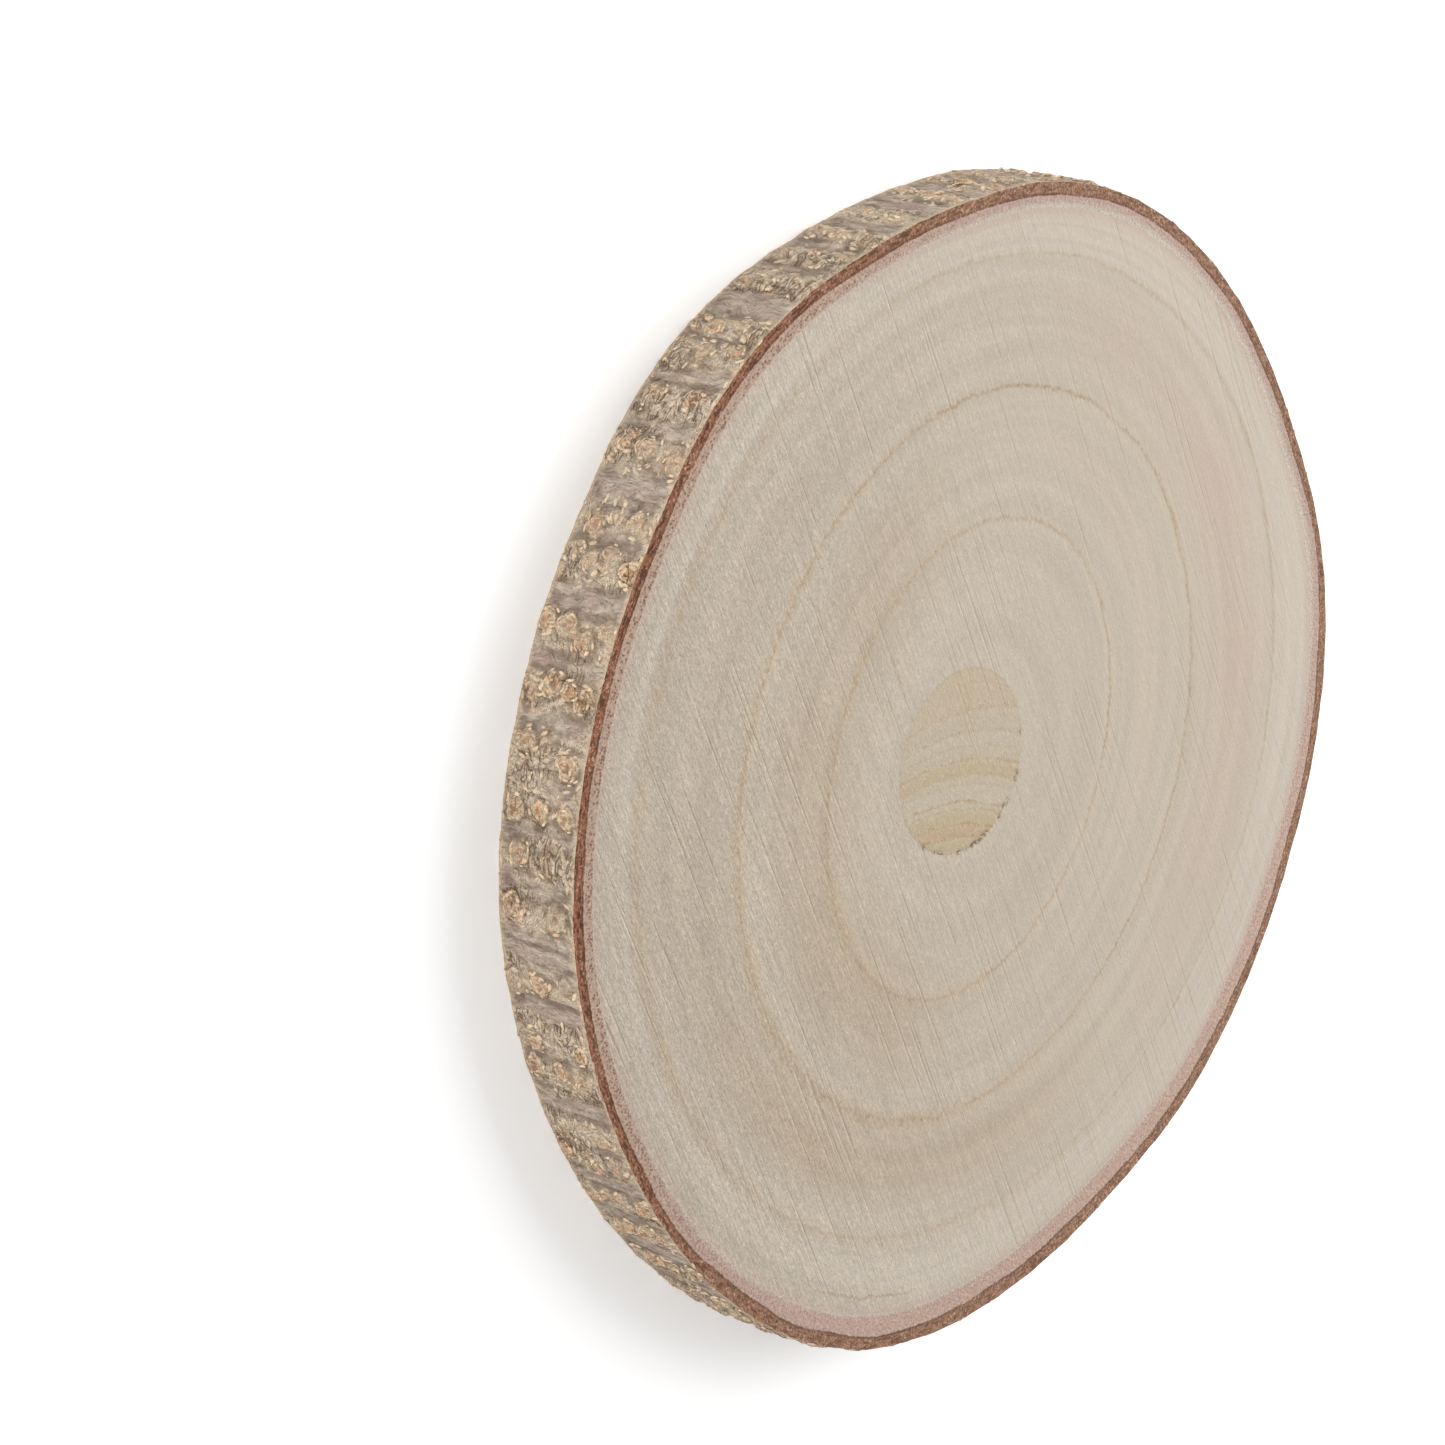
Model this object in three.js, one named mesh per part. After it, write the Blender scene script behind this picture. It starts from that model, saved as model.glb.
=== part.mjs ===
// Wood slice: a round cross-cut of a young trunk with its bark on, and a round plug of
// another wood in the hole where the pith was. It lies flat on one of its two cut faces.
// Millimetres, +Z up. The trunk grew along Z, and angles are counted in degrees from +X.

import * as THREE from 'three';
import { mergeVertices } from 'three/addons/utils/BufferGeometryUtils.js';

// The whole slice
const SLICE_THICKNESS = 12.7;
const MEAN_RADIUS = 78.2;
const SEAM = 0.3;

// Swells and dents of the trunk's outline: where, how far out, and how far to each side
const OUTLINE_SWELLS = [
  { angle: 7, rise: 1.3, reach: 24 },
  { angle: 45, rise: -1, reach: 20 },
  { angle: 112, rise: 0.95, reach: 28 },
  { angle: 143, rise: -1.1, reach: 22 },
  { angle: 183, rise: 0.9, reach: 24 },
  { angle: 212, rise: -0.6, reach: 18 },
  { angle: 240, rise: 1.2, reach: 20 },
  { angle: 322, rise: -1.1, reach: 30 },
];

// Bark: its thickness, the side where it is thickest, and the mesh that carries its relief
const BARK_THICKNESS = 3.6;
const BARK_SWELL = { angle: 45, rise: 2, reach: 100 };
const BARK_STEPS_AROUND = 340;
const BARK_STEPS_UP = 8;

// Lenticels: round warts that stand in columns along the trunk, on low ridges of bark
const LENTICEL_SEED = 7;
const LENTICEL_COLUMNS = 66;
const LENTICELS_IN_COLUMN = { fewest: 2, most: 4 };
const LENTICEL_WIDTH = 3.2;
const LENTICEL_SPREAD = 0.4;
const LENTICEL_RISE = 0.4;
const RIDGE_WIDTH = 5.5;
const RIDGE_RISE = 0.25;

// Wood and plug
const WOOD_SIDES = 150;
const PLUG_DIAMETER = 25.4;
const PLUG_CENTRE = { x: -0.75, y: -5 };
const PLUG_SIDES = 48;

const MATERIALS = {
  bark: new THREE.MeshStandardMaterial({ color: 0x9c8a79, roughness: 0.92, metalness: 0 }),
  wood: new THREE.MeshStandardMaterial({ color: 0xcdbeaa, roughness: 0.8, metalness: 0 }),
  plug: new THREE.MeshStandardMaterial({ color: 0xc8b892, roughness: 0.75, metalness: 0 }),
};

// Angle from one direction to another, the short way round, in degrees
function turnBetween(from, to) {
  return THREE.MathUtils.euclideanModulo(to - from + 180, 360) - 180;
}

// A rounded bump: 1 in its middle, 0 from a distance of 1 outwards on either side
function dome(distance) {
  return Math.abs(distance) < 1 ? (1 - distance ** 2) ** 2 : 0;
}

// A repeatable run of draws between 0 and 1
function seededDraws(seed) {
  let state = seed;
  return () => {
    state = (Math.imul(state, 1664525) + 1013904223) >>> 0;
    return state / 2 ** 32;
  };
}

function swellAt(swell, angle) {
  return swell.rise * dome(turnBetween(swell.angle, angle) / swell.reach);
}

// Distance from the growth centre to the bark's surface, without its warts
function outlineRadius(angle) {
  return OUTLINE_SWELLS.reduce((radius, swell) => radius + swellAt(swell, angle), MEAN_RADIUS);
}

// Distance from the growth centre to the cambium, where wood and bark meet
function cambiumRadius(angle) {
  return outlineRadius(angle) - BARK_THICKNESS - swellAt(BARK_SWELL, angle);
}

// The columns of lenticels, each with its angle and the warts that stand in it
function growColumns() {
  const draw = seededDraws(LENTICEL_SEED);
  const pitch = 360 / LENTICEL_COLUMNS;
  const choices = LENTICELS_IN_COLUMN.most - LENTICELS_IN_COLUMN.fewest + 1;
  return Array.from({ length: LENTICEL_COLUMNS }, (_, index) => {
    const angle = pitch * (index + LENTICEL_SPREAD * (draw() - 0.5));
    const count = LENTICELS_IN_COLUMN.fewest + Math.floor(choices * draw());
    const lenticels = Array.from({ length: count }, (__, place) => ({
      angle: angle + pitch * LENTICEL_SPREAD * (draw() - 0.5),
      height: (SLICE_THICKNESS * (place + 0.5 + LENTICEL_SPREAD * (draw() - 0.5))) / count,
      size: 1 + LENTICEL_SPREAD * (draw() - 0.5),
    }));
    return { angle, lenticels };
  });
}

const columns = growColumns();

function arcLength(from, to) {
  return THREE.MathUtils.degToRad(turnBetween(from, to)) * MEAN_RADIUS;
}

// How far the relief stands out of the bark at an angle and a height
function barkRise(angle, height) {
  let ridge = 0;
  let wart = 0;
  for (const column of columns) {
    ridge = Math.max(ridge, RIDGE_RISE * dome((2 * arcLength(column.angle, angle)) / RIDGE_WIDTH));
    for (const lenticel of column.lenticels) {
      const across = arcLength(lenticel.angle, angle);
      const along = height - lenticel.height;
      const distance = (2 * Math.hypot(across, along)) / (LENTICEL_WIDTH * lenticel.size);
      wart = Math.max(wart, LENTICEL_RISE * lenticel.size * dome(distance));
    }
  }
  return ridge + wart;
}

// A closed ring of points round the growth axis
function ringPoints(count, radiusAt) {
  return Array.from({ length: count }, (_, index) => {
    const angle = (360 * index) / count;
    const radians = THREE.MathUtils.degToRad(angle);
    return new THREE.Vector2(Math.cos(radians), Math.sin(radians)).multiplyScalar(radiusAt(angle));
  });
}

// The bark starts as a plain turned ring from radius 1 to 2, which is then moved out to the
// cambium and to the outline with its relief
function makeBark() {
  const plainInside = 1;
  const plainOutside = 2;
  const profile = [];
  for (let row = 0; row <= BARK_STEPS_UP; row += 1) {
    profile.push(new THREE.Vector2(plainOutside, (SLICE_THICKNESS * row) / BARK_STEPS_UP));
  }
  profile.push(new THREE.Vector2(plainInside, SLICE_THICKNESS));
  profile.push(new THREE.Vector2(plainInside, 0));
  profile.push(profile[0].clone());

  const turned = new THREE.LatheGeometry(profile, BARK_STEPS_AROUND).rotateX(Math.PI / 2);
  turned.deleteAttribute('normal');
  turned.deleteAttribute('uv');
  const ring = mergeVertices(turned);
  const places = ring.getAttribute('position');
  for (let index = 0; index < places.count; index += 1) {
    const x = places.getX(index);
    const y = places.getY(index);
    const height = places.getZ(index);
    const plainRadius = Math.hypot(x, y);
    const angle = THREE.MathUtils.radToDeg(Math.atan2(y, x));
    const isSurface = plainRadius > (plainInside + plainOutside) / 2;
    const surface = outlineRadius(angle) - RIDGE_RISE + barkRise(angle, height);
    const radius = isSurface ? surface : cambiumRadius(angle) + SEAM;
    places.setXY(index, (x * radius) / plainRadius, (y * radius) / plainRadius);
  }
  ring.computeVertexNormals();
  return ring;
}

// The wood is a flat-faced disc up to the cambium, with the plug's hole right through it
function makeWood() {
  const disc = new THREE.Shape(ringPoints(WOOD_SIDES, cambiumRadius));
  const hole = ringPoints(PLUG_SIDES, () => PLUG_DIAMETER / 2 + SEAM);
  hole.forEach((point) => point.add(PLUG_CENTRE));
  disc.holes.push(new THREE.Path(hole.reverse()));
  return new THREE.ExtrudeGeometry(disc, { depth: SLICE_THICKNESS, bevelEnabled: false });
}

function makePlug() {
  const radius = PLUG_DIAMETER / 2;
  const plug = new THREE.CylinderGeometry(radius, radius, SLICE_THICKNESS, PLUG_SIDES);
  return plug.rotateX(Math.PI / 2).translate(PLUG_CENTRE.x, PLUG_CENTRE.y, SLICE_THICKNESS / 2);
}

function makeSlice() {
  const pieces = { bark: makeBark(), wood: makeWood(), plug: makePlug() };
  const slice = new THREE.Group();
  for (const [name, geometry] of Object.entries(pieces)) {
    const piece = new THREE.Mesh(geometry, MATERIALS[name]);
    piece.name = name;
    slice.add(piece);
  }
  return slice;
}

// The slice is set down with the middle of its outline over the origin
const woodSlice = makeSlice();
const middle = new THREE.Box3().setFromObject(woodSlice).getCenter(new THREE.Vector3());
woodSlice.position.set(-middle.x, -middle.y, 0);

export default woodSlice;
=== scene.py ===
"""Looks of a wood slice: bark with its lenticels, pale sawn wood and a round plug of another wood.

Sizes in the classes are millimetres and angles are degrees from +X, both counted from the trunk's
growth centre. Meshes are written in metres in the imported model's own frame, where the slice lies on
its lower cut face with +Z up along the trunk.
"""

import logging
import math
from dataclasses import asdict, dataclass
from enum import Enum
from functools import cached_property
from typing import Iterator, Sequence

import bpy
import numpy as np
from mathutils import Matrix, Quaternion, Vector


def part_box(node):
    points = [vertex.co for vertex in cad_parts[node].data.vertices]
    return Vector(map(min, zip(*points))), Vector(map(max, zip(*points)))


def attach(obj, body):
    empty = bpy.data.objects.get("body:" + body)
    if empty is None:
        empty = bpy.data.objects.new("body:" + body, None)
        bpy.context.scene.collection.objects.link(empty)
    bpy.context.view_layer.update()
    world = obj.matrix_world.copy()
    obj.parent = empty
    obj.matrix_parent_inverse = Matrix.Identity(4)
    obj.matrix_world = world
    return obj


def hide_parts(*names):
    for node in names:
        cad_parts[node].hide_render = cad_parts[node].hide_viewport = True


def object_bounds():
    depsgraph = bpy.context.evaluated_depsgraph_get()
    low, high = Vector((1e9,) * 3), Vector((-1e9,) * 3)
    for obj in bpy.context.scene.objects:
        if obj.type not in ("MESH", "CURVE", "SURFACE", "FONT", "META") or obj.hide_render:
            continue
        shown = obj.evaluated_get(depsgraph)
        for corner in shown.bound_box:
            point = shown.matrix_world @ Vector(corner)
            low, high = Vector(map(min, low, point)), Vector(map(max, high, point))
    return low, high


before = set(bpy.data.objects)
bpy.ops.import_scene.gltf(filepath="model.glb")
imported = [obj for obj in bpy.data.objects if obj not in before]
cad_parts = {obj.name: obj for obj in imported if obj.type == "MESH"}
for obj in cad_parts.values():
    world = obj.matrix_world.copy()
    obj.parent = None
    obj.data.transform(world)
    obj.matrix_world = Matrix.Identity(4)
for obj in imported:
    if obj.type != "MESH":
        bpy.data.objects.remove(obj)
cad_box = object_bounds()

MM = 0.001
FULL_TURN = 360.0
BODY = "root"
LOG = logging.getLogger("wood_slice")

Socket = bpy.types.NodeSocket
Colour = tuple[float, float, float]


def paint(code: str) -> Colour:
    """Turn a display colour into the linear colour that shaders use.

    Args:
        code: six hexadecimal digits, red, green and blue.

    Returns:
        The linear red, green and blue.
    """
    shares = [int(code[start:start + 2], 16) / 255 for start in (0, 2, 4)]
    red, green, blue = (s / 12.92 if s <= 0.04045 else ((s + 0.055) / 1.055) ** 2.4 for s in shares)
    return red, green, blue


def dome(distance: np.ndarray) -> np.ndarray:
    """A rounded bump: 1 in its middle, 0 from a distance of 1 outwards on either side."""
    return np.where(np.abs(distance) < 1, (1 - distance ** 2) ** 2, 0.0)


def smooth_step(low: float, high: float, value: np.ndarray) -> np.ndarray:
    """A smooth rise from 0 at low to 1 at high."""
    share = np.clip((value - low) / (high - low), 0, 1)
    return share * share * (3 - 2 * share)


def turn_between(start: float, end: np.ndarray) -> np.ndarray:
    """Angle from one direction to others, the short way round, in degrees."""
    return (end - start + FULL_TURN / 2) % FULL_TURN - FULL_TURN / 2


def turns_around(steps: int) -> np.ndarray:
    """Even steps round the trunk, as shares of a full turn."""
    return np.arange(steps) / steps


class Side(Enum):
    """The slice's two cut faces."""

    TOP = 0
    BOTTOM = 1


@dataclass(frozen=True)
class Swell:
    """A rounded swell of the outline, or a dent where its rise is below zero."""

    angle: float
    rise: float
    reach: float

    def at(self, angle: np.ndarray) -> np.ndarray:
        """How far the swell stands out at some angles."""
        return self.rise * dome(turn_between(self.angle, angle) / self.reach)


@dataclass(frozen=True)
class Trunk:
    """The trunk that the slice was cut from."""

    mean_radius: float = 78.2
    swells: tuple[Swell, ...] = (
        Swell(7, 1.3, 24),
        Swell(45, -1, 20),
        Swell(112, 0.95, 28),
        Swell(143, -1.1, 22),
        Swell(183, 0.9, 24),
        Swell(212, -0.6, 18),
        Swell(240, 1.2, 20),
        Swell(322, -1.1, 30),
    )
    bark_thickness: float = 3.6
    bark_swell: Swell = Swell(45, 2, 100)
    cork_share: float = 0.48
    cork_dent: Swell = Swell(60, -0.08, 130)

    def outline(self, angle: np.ndarray) -> np.ndarray:
        """Distance from the growth centre to the bark's surface, without its warts."""
        return self.mean_radius + sum(swell.at(angle) for swell in self.swells)

    def bark(self, angle: np.ndarray) -> np.ndarray:
        """Thickness of the bark, from its surface to the cambium."""
        return self.bark_thickness + self.bark_swell.at(angle)

    def cambium(self, angle: np.ndarray) -> np.ndarray:
        """Distance from the growth centre to where wood and bark meet."""
        return self.outline(angle) - self.bark(angle)

    def cork(self, angle: np.ndarray) -> np.ndarray:
        """Thickness of the bark's brown outer layer."""
        return self.bark(angle) * (self.cork_share + self.cork_dent.at(angle))

    def arc(self, start: float, end: np.ndarray) -> np.ndarray:
        """Length along the bark from one angle to others."""
        return np.radians(turn_between(start, end)) * self.mean_radius


@dataclass(frozen=True)
class SlicePlace:
    """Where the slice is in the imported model, in millimetres."""

    thickness: float
    plug_radius: float
    plug_centre: np.ndarray
    growth_centre: np.ndarray
    low: np.ndarray
    high: np.ndarray

    @classmethod
    def from_frame(cls) -> "SlicePlace":
        """Read the slice's thickness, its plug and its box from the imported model.

        Returns:
            The place, with the growth centre found from the plug that was set beside it.
        """
        plug_from_growth = np.array([-0.75, -5.0])
        low, high = (np.array(corner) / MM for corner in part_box("plug"))
        middle = (low[:2] + high[:2]) / 2
        box_low, box_high = (np.array(corner) / MM for corner in cad_box)
        return cls(
            thickness=high[2] - low[2],
            plug_radius=(high[0] - low[0]) / 2,
            plug_centre=middle,
            growth_centre=middle - plug_from_growth,
            low=box_low,
            high=box_high,
        )

    @property
    def plug_offset(self) -> np.ndarray:
        """The plug's middle, counted from the growth centre."""
        return self.plug_centre - self.growth_centre

    def level(self, side: Side, sink: "np.ndarray | float") -> "np.ndarray | float":
        """Height of points that lie some depth below one of the cut faces."""
        return self.thickness - sink if side is Side.TOP else sink


@dataclass(frozen=True)
class Lenticel:
    """One wart: where it stands on the rim, and its size as a share of the usual one."""

    angle: float
    height: float
    size: float


@dataclass(frozen=True)
class LenticelColumn:
    """A column of lenticels that stands along the trunk."""

    angle: float
    lenticels: tuple[Lenticel, ...]


@dataclass(frozen=True)
class LenticelRule:
    """The rule that places the lenticels, with the same draws as the solid's."""

    seed: int = 7
    columns: int = 66
    fewest: int = 2
    most: int = 4
    width: float = 3.2
    spread: float = 0.4
    rise: float = 0.4
    ridge_width: float = 5.5
    ridge_rise: float = 0.25

    def draws(self) -> Iterator[float]:
        """A repeatable run of draws between 0 and 1, each from the last by a fixed sum.

        Returns:
            The draws, without an end.
        """
        state = self.seed
        while True:
            state = (state * 1664525 + 1013904223) % 2 ** 32
            yield state / 2 ** 32

    def grow(self, thickness: float) -> list[LenticelColumn]:
        """Place every column and its lenticels.

        Args:
            thickness: of the slice, which the columns cross.

        Returns:
            The columns in order round the trunk.
        """
        draws = self.draws()
        pitch = FULL_TURN / self.columns
        grown = []
        for index in range(self.columns):
            angle = pitch * (index + self.spread * (next(draws) - 0.5))
            count = self.fewest + int((self.most - self.fewest + 1) * next(draws))
            lenticels = tuple(
                Lenticel(
                    angle=angle + pitch * self.spread * (next(draws) - 0.5),
                    height=thickness * (place + 0.5 + self.spread * (next(draws) - 0.5)) / count,
                    size=1 + self.spread * (next(draws) - 0.5),
                )
                for place in range(count)
            )
            grown.append(LenticelColumn(angle, lenticels))
        return grown


@dataclass(frozen=True)
class BandNoise:
    """Smooth repeatable noise on a band that closes round the trunk, up to its strength either way."""

    seed: int
    cell_around: float
    cell_across: float
    strength: float = 1.0

    def at(self, turn: np.ndarray, across: np.ndarray, side: Side = Side.TOP) -> np.ndarray:
        """Read the noise.

        Args:
            turn: how far round the trunk, as a share of a full turn.
            across: how far across the band, from 0, in millimetres.
            side: the cut face that it is for, since each has draws of its own.

        Returns:
            The noise at each point.
        """
        cells_around = max(3, round(2 * math.pi * Trunk.mean_radius / self.cell_around))
        cells_across = int(np.max(across) / self.cell_across) + 2
        draws = np.random.default_rng(self.seed + side.value)
        lattice = draws.uniform(-1, 1, (cells_around, cells_across + 1))
        around = turn * cells_around
        along = across / self.cell_across
        column = np.floor(around).astype(int)
        row = np.floor(along).astype(int)
        sideways = smooth_step(0, 1, around - column)
        up = smooth_step(0, 1, along - row)
        left, right = column % cells_around, (column + 1) % cells_around
        low = lattice[left, row] * (1 - sideways) + lattice[right, row] * sideways
        high = lattice[left, row + 1] * (1 - sideways) + lattice[right, row + 1] * sideways
        return self.strength * (low * (1 - up) + high * up)


@dataclass(frozen=True)
class LayeredNoise:
    """Coarse and fine noise on a band, added up."""

    coarse: BandNoise
    fine: BandNoise

    def at(self, turn: np.ndarray, across: np.ndarray, side: Side = Side.TOP) -> np.ndarray:
        """Read both as BandNoise does and add them."""
        return self.coarse.at(turn, across, side) + self.fine.at(turn, across, side)


class MeshSheets:
    """A closed mesh put together from sheets of faces over grids of points."""

    def __init__(self) -> None:
        """Start with no points."""
        self.points: list[np.ndarray] = []
        self.faces: list[np.ndarray] = []
        self.slots: list[np.ndarray] = []
        self.marks: dict[str, list[tuple[np.ndarray, np.ndarray]]] = {}
        self.count = 0

    def add_points(self, points: np.ndarray) -> np.ndarray:
        """Add a grid of points.

        Args:
            points: rows by columns by 3, in millimetres.

        Returns:
            The points' numbers, rows by columns.
        """
        rows, columns = points.shape[:2]
        numbers = self.count + np.arange(rows * columns).reshape(rows, columns)
        self.points.append(points.reshape(-1, 3))
        self.count += rows * columns
        return numbers

    def add_faces(self, corners: list[np.ndarray], slot: int, flip: bool) -> None:
        """Add faces by the point numbers of their corners.

        Args:
            corners: for each corner, its number in every face.
            slot: material slot of the faces.
            flip: turn the faces to face the other way.
        """
        if flip:
            corners.reverse()
        faces = np.stack(corners, axis=-1).reshape(-1, len(corners))
        self.faces.append(faces)
        self.slots.append(np.full(len(faces), slot))

    def add_quads(self, numbers: np.ndarray, slot: int = 0, flip: bool = False) -> None:
        """Span quads over a grid of point numbers that closes round its columns."""
        after = np.roll(numbers, -1, axis=1)
        self.add_faces([numbers[:-1], after[:-1], after[1:], numbers[1:]], slot, flip)

    def add_fan(self, rim: np.ndarray, middle: int, flip: bool) -> None:
        """Close a ring of points with triangles that meet in a middle point."""
        self.add_faces([rim, np.roll(rim, -1), np.full(len(rim), middle)], 0, flip)

    def mark(self, name: str, numbers: np.ndarray, values: np.ndarray) -> None:
        """Note a value for some points, which their finish reads by name."""
        noted = np.broadcast_to(values, numbers.shape)
        self.marks.setdefault(name, []).append((numbers.ravel(), noted.ravel()))

    def piece(
        self, name: str, place: SlicePlace, materials: Sequence[bpy.types.Material], sharp_angle: float
    ) -> bpy.types.Object:
        """Make the Blender object.

        Args:
            name: of the piece.
            place: the slice's place, whose box holds every point.
            materials: one for each slot.
            sharp_angle: edges that turn by more than this stay sharp.

        Returns:
            The piece, at the origin and linked to the scene.
        """
        points = np.concatenate(self.points)
        points[:, :2] += place.growth_centre
        points = np.clip(points, place.low, place.high) * MM
        faces = [face for sheet in self.faces for face in sheet.tolist()]
        mesh = bpy.data.meshes.new(name)
        mesh.from_pydata(points.tolist(), [], faces)
        mesh.polygons.foreach_set("material_index", np.concatenate(self.slots).astype(np.int32))
        mesh.polygons.foreach_set("use_smooth", np.ones(len(faces), dtype=bool))
        for mark_name, notes in self.marks.items():
            values = np.zeros(self.count, dtype=np.float32)
            for numbers, noted in notes:
                values[numbers] = noted
            mesh.attributes.new(mark_name, "FLOAT", "POINT").data.foreach_set("value", values)
        mesh.set_sharp_from_angle(angle=math.radians(sharp_angle))
        for material in materials:
            mesh.materials.append(material)
        mesh.update()
        return link_new(name, mesh)


def link_new(name: str, data: bpy.types.ID) -> bpy.types.Object:
    """Make an object from its data and link it to the scene.

    Args:
        name: of the object.
        data: its mesh, lamp or camera.

    Returns:
        The object.
    """
    item = bpy.data.objects.new(name, data)
    bpy.context.scene.collection.objects.link(item)
    return item


def ring_points(radius: np.ndarray, angle: np.ndarray, height: np.ndarray) -> np.ndarray:
    """Points round the growth axis.

    Args:
        radius: of each point.
        angle: of each point, or of each column.
        height: of each point, or of each row.

    Returns:
        The points, with x, y and z as last axis.
    """
    radians = np.radians(np.broadcast_to(angle, radius.shape))
    flat = np.broadcast_to(height, radius.shape)
    return np.stack([radius * np.cos(radians), radius * np.sin(radians), flat], axis=-1)


def hand_over(piece: bpy.types.Object, node: str) -> None:
    """Let a piece stand for a node of the model.

    Args:
        piece: to hand over.
        node: that it replaces.
    """
    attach(piece, BODY)
    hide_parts(node)
    LOG.info("%s: %d faces", piece.name, len(piece.data.polygons))


@dataclass(frozen=True)
class Value:
    """What a node puts out: a number, place or colour that further nodes are built from."""

    graph: "Graph"
    socket: Socket

    def __add__(self, other: "Number") -> "Value":
        """The sum of two numbers."""
        return self.graph.math("ADD", self, other)

    def __sub__(self, other: "Number") -> "Value":
        """The difference between two numbers."""
        return self.graph.math("SUBTRACT", self, other)

    def __mul__(self, other: "Number") -> "Value":
        """The product of two numbers."""
        return self.graph.math("MULTIPLY", self, other)

    def __truediv__(self, other: "Number") -> "Value":
        """The quotient of two numbers."""
        return self.graph.math("DIVIDE", self, other)

    def most(self, other: "Number") -> "Value":
        """The larger of two numbers."""
        return self.graph.math("MAXIMUM", self, other)

    def fade(self, low: "Number", high: "Number") -> "Value":
        """A smooth rise from 0 at low to 1 at high, or a fall where low is the larger."""
        feeds = {"Value": self, "From Min": low, "From Max": high}
        return self.graph.value("ShaderNodeMapRange", feeds, interpolation_type="SMOOTHSTEP")

    def near(self, middle: float, reach: "Number") -> "Value":
        """1 where the number is at the middle, falling to 0 at the reach to either side."""
        return self.graph.math("ABSOLUTE", self - middle).fade(reach, 0.0)

    def tinted(self, share: "Number", tint: "Tint") -> "Value":
        """The colour mixed with a tint, by the tint's share."""
        return self.graph.mix(share, self, tint)

    def shaded(self, mask: "Value", depth: "Number") -> "Value":
        """Make the colour lighter and darker.

        Args:
            mask: from 0 to 1, where one half changes nothing.
            depth: the largest change either way, as a share of the colour.

        Returns:
            The shaded colour.
        """
        gain = (mask - 0.5) * (depth * 2.0) + 1.0
        return self.scaled(gain)

    def scaled(self, gain: "Number") -> "Value":
        """The place or colour times a number."""
        return self.graph.value("ShaderNodeVectorMath", {0: self, "Scale": gain}, operation="SCALE")

    def stretched(self, scale: "Value | Sequence[float]") -> "Value":
        """The place times a scale, axis by axis."""
        return self.graph.vector("MULTIPLY", self, scale)

    def split(self) -> list["Value"]:
        """The three numbers of the place or colour."""
        node = self.graph.add("ShaderNodeSeparateXYZ", {0: self})
        return [Value(self.graph, socket) for socket in node.outputs]


Number = Value | float
Tint = Value | Colour
Feed = Value | float | str | Sequence[float]


class Graph:
    """A node tree, with short calls for the nodes that the finishes use."""

    def __init__(self, tree: bpy.types.NodeTree) -> None:
        """Work on a tree."""
        self.tree = tree

    def feed(self, socket: Socket, given: Feed) -> None:
        """Link an input to a value, or set it to a fixed one.

        Args:
            socket: the input.
            given: what goes into it.
        """
        if isinstance(given, Value):
            self.tree.links.new(given.socket, socket)
        elif socket.type == "RGBA":
            socket.default_value = (*given, 1.0)
        else:
            socket.default_value = given

    def add(self, kind: str, feeds: dict[str | int, Feed], **settings: object) -> bpy.types.Node:
        """Add a node.

        Args:
            kind: the node's type.
            feeds: what goes into its inputs, by their names or numbers.
            settings: the node's own properties.

        Returns:
            The node.
        """
        node = self.tree.nodes.new(kind)
        for name, setting in settings.items():
            setattr(node, name, setting)
        for key, given in feeds.items():
            self.feed(node.inputs[key], given)
        return node

    def value(
        self, kind: str, feeds: dict[str | int, Feed], output: str | int = 0, **settings: object
    ) -> Value:
        """Add a node and take one of its outputs."""
        return Value(self, self.add(kind, feeds, **settings).outputs[output])

    def math(self, operation: str, *numbers: Number, clamp: bool = False) -> Value:
        """Arithmetic on one or more numbers."""
        feeds = dict(enumerate(numbers))
        return self.value("ShaderNodeMath", feeds, operation=operation, use_clamp=clamp)

    def vector(self, operation: str, *places: Value | Sequence[float]) -> Value:
        """Arithmetic on one or more places."""
        return self.value("ShaderNodeVectorMath", dict(enumerate(places)), operation=operation)

    def join(self, *numbers: Number) -> Value:
        """A place from its numbers in order."""
        return self.value("ShaderNodeCombineXYZ", dict(enumerate(numbers)))

    def mix(self, share: Number, first: Tint, second: Tint) -> Value:
        """Blend two colours, whose sockets the node keeps beside those for other kinds of value."""
        return self.value("ShaderNodeMix", {0: share, 6: first, 7: second}, 2, data_type="RGBA")

    def noise(self, place: Value, detail: float, warp: float = 0.0, flat: bool = False) -> Value:
        """Cloudy noise with cells about one unit wide.

        Args:
            place: where to read it.
            detail: how many finer layers it has.
            warp: how far it is pulled out of shape.
            flat: whether it only follows the place's first two numbers.

        Returns:
            The noise, from 0 to 1.
        """
        feeds = {"Vector": place, "Scale": 1.0, "Detail": detail, "Distortion": warp}
        return self.value("ShaderNodeTexNoise", feeds, noise_dimensions="2D" if flat else "3D")


class Group(Graph):
    """A node group with named inputs and outputs."""

    def __init__(self, name: str, kind: str, inputs: dict[str, str], outputs: dict[str, str]) -> None:
        """Start a group.

        Args:
            name: of the group.
            kind: of node tree.
            inputs: each input's name and kind of socket.
            outputs: the same for its outputs.
        """
        super().__init__(bpy.data.node_groups.new(name, kind))
        for way, sockets in (("INPUT", inputs), ("OUTPUT", outputs)):
            for label, socket in sockets.items():
                self.tree.interface.new_socket(name=label, in_out=way, socket_type=f"NodeSocket{socket}")
        self._start = self.add("NodeGroupInput", {})
        self._end = self.add("NodeGroupOutput", {})

    def given(self, name: str) -> Value:
        """One of the group's inputs."""
        return Value(self, self._start.outputs[name])

    def put_out(self, name: str, value: Value) -> None:
        """Feed one of the group's outputs."""
        self.feed(self._end.inputs[name], value)


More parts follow.
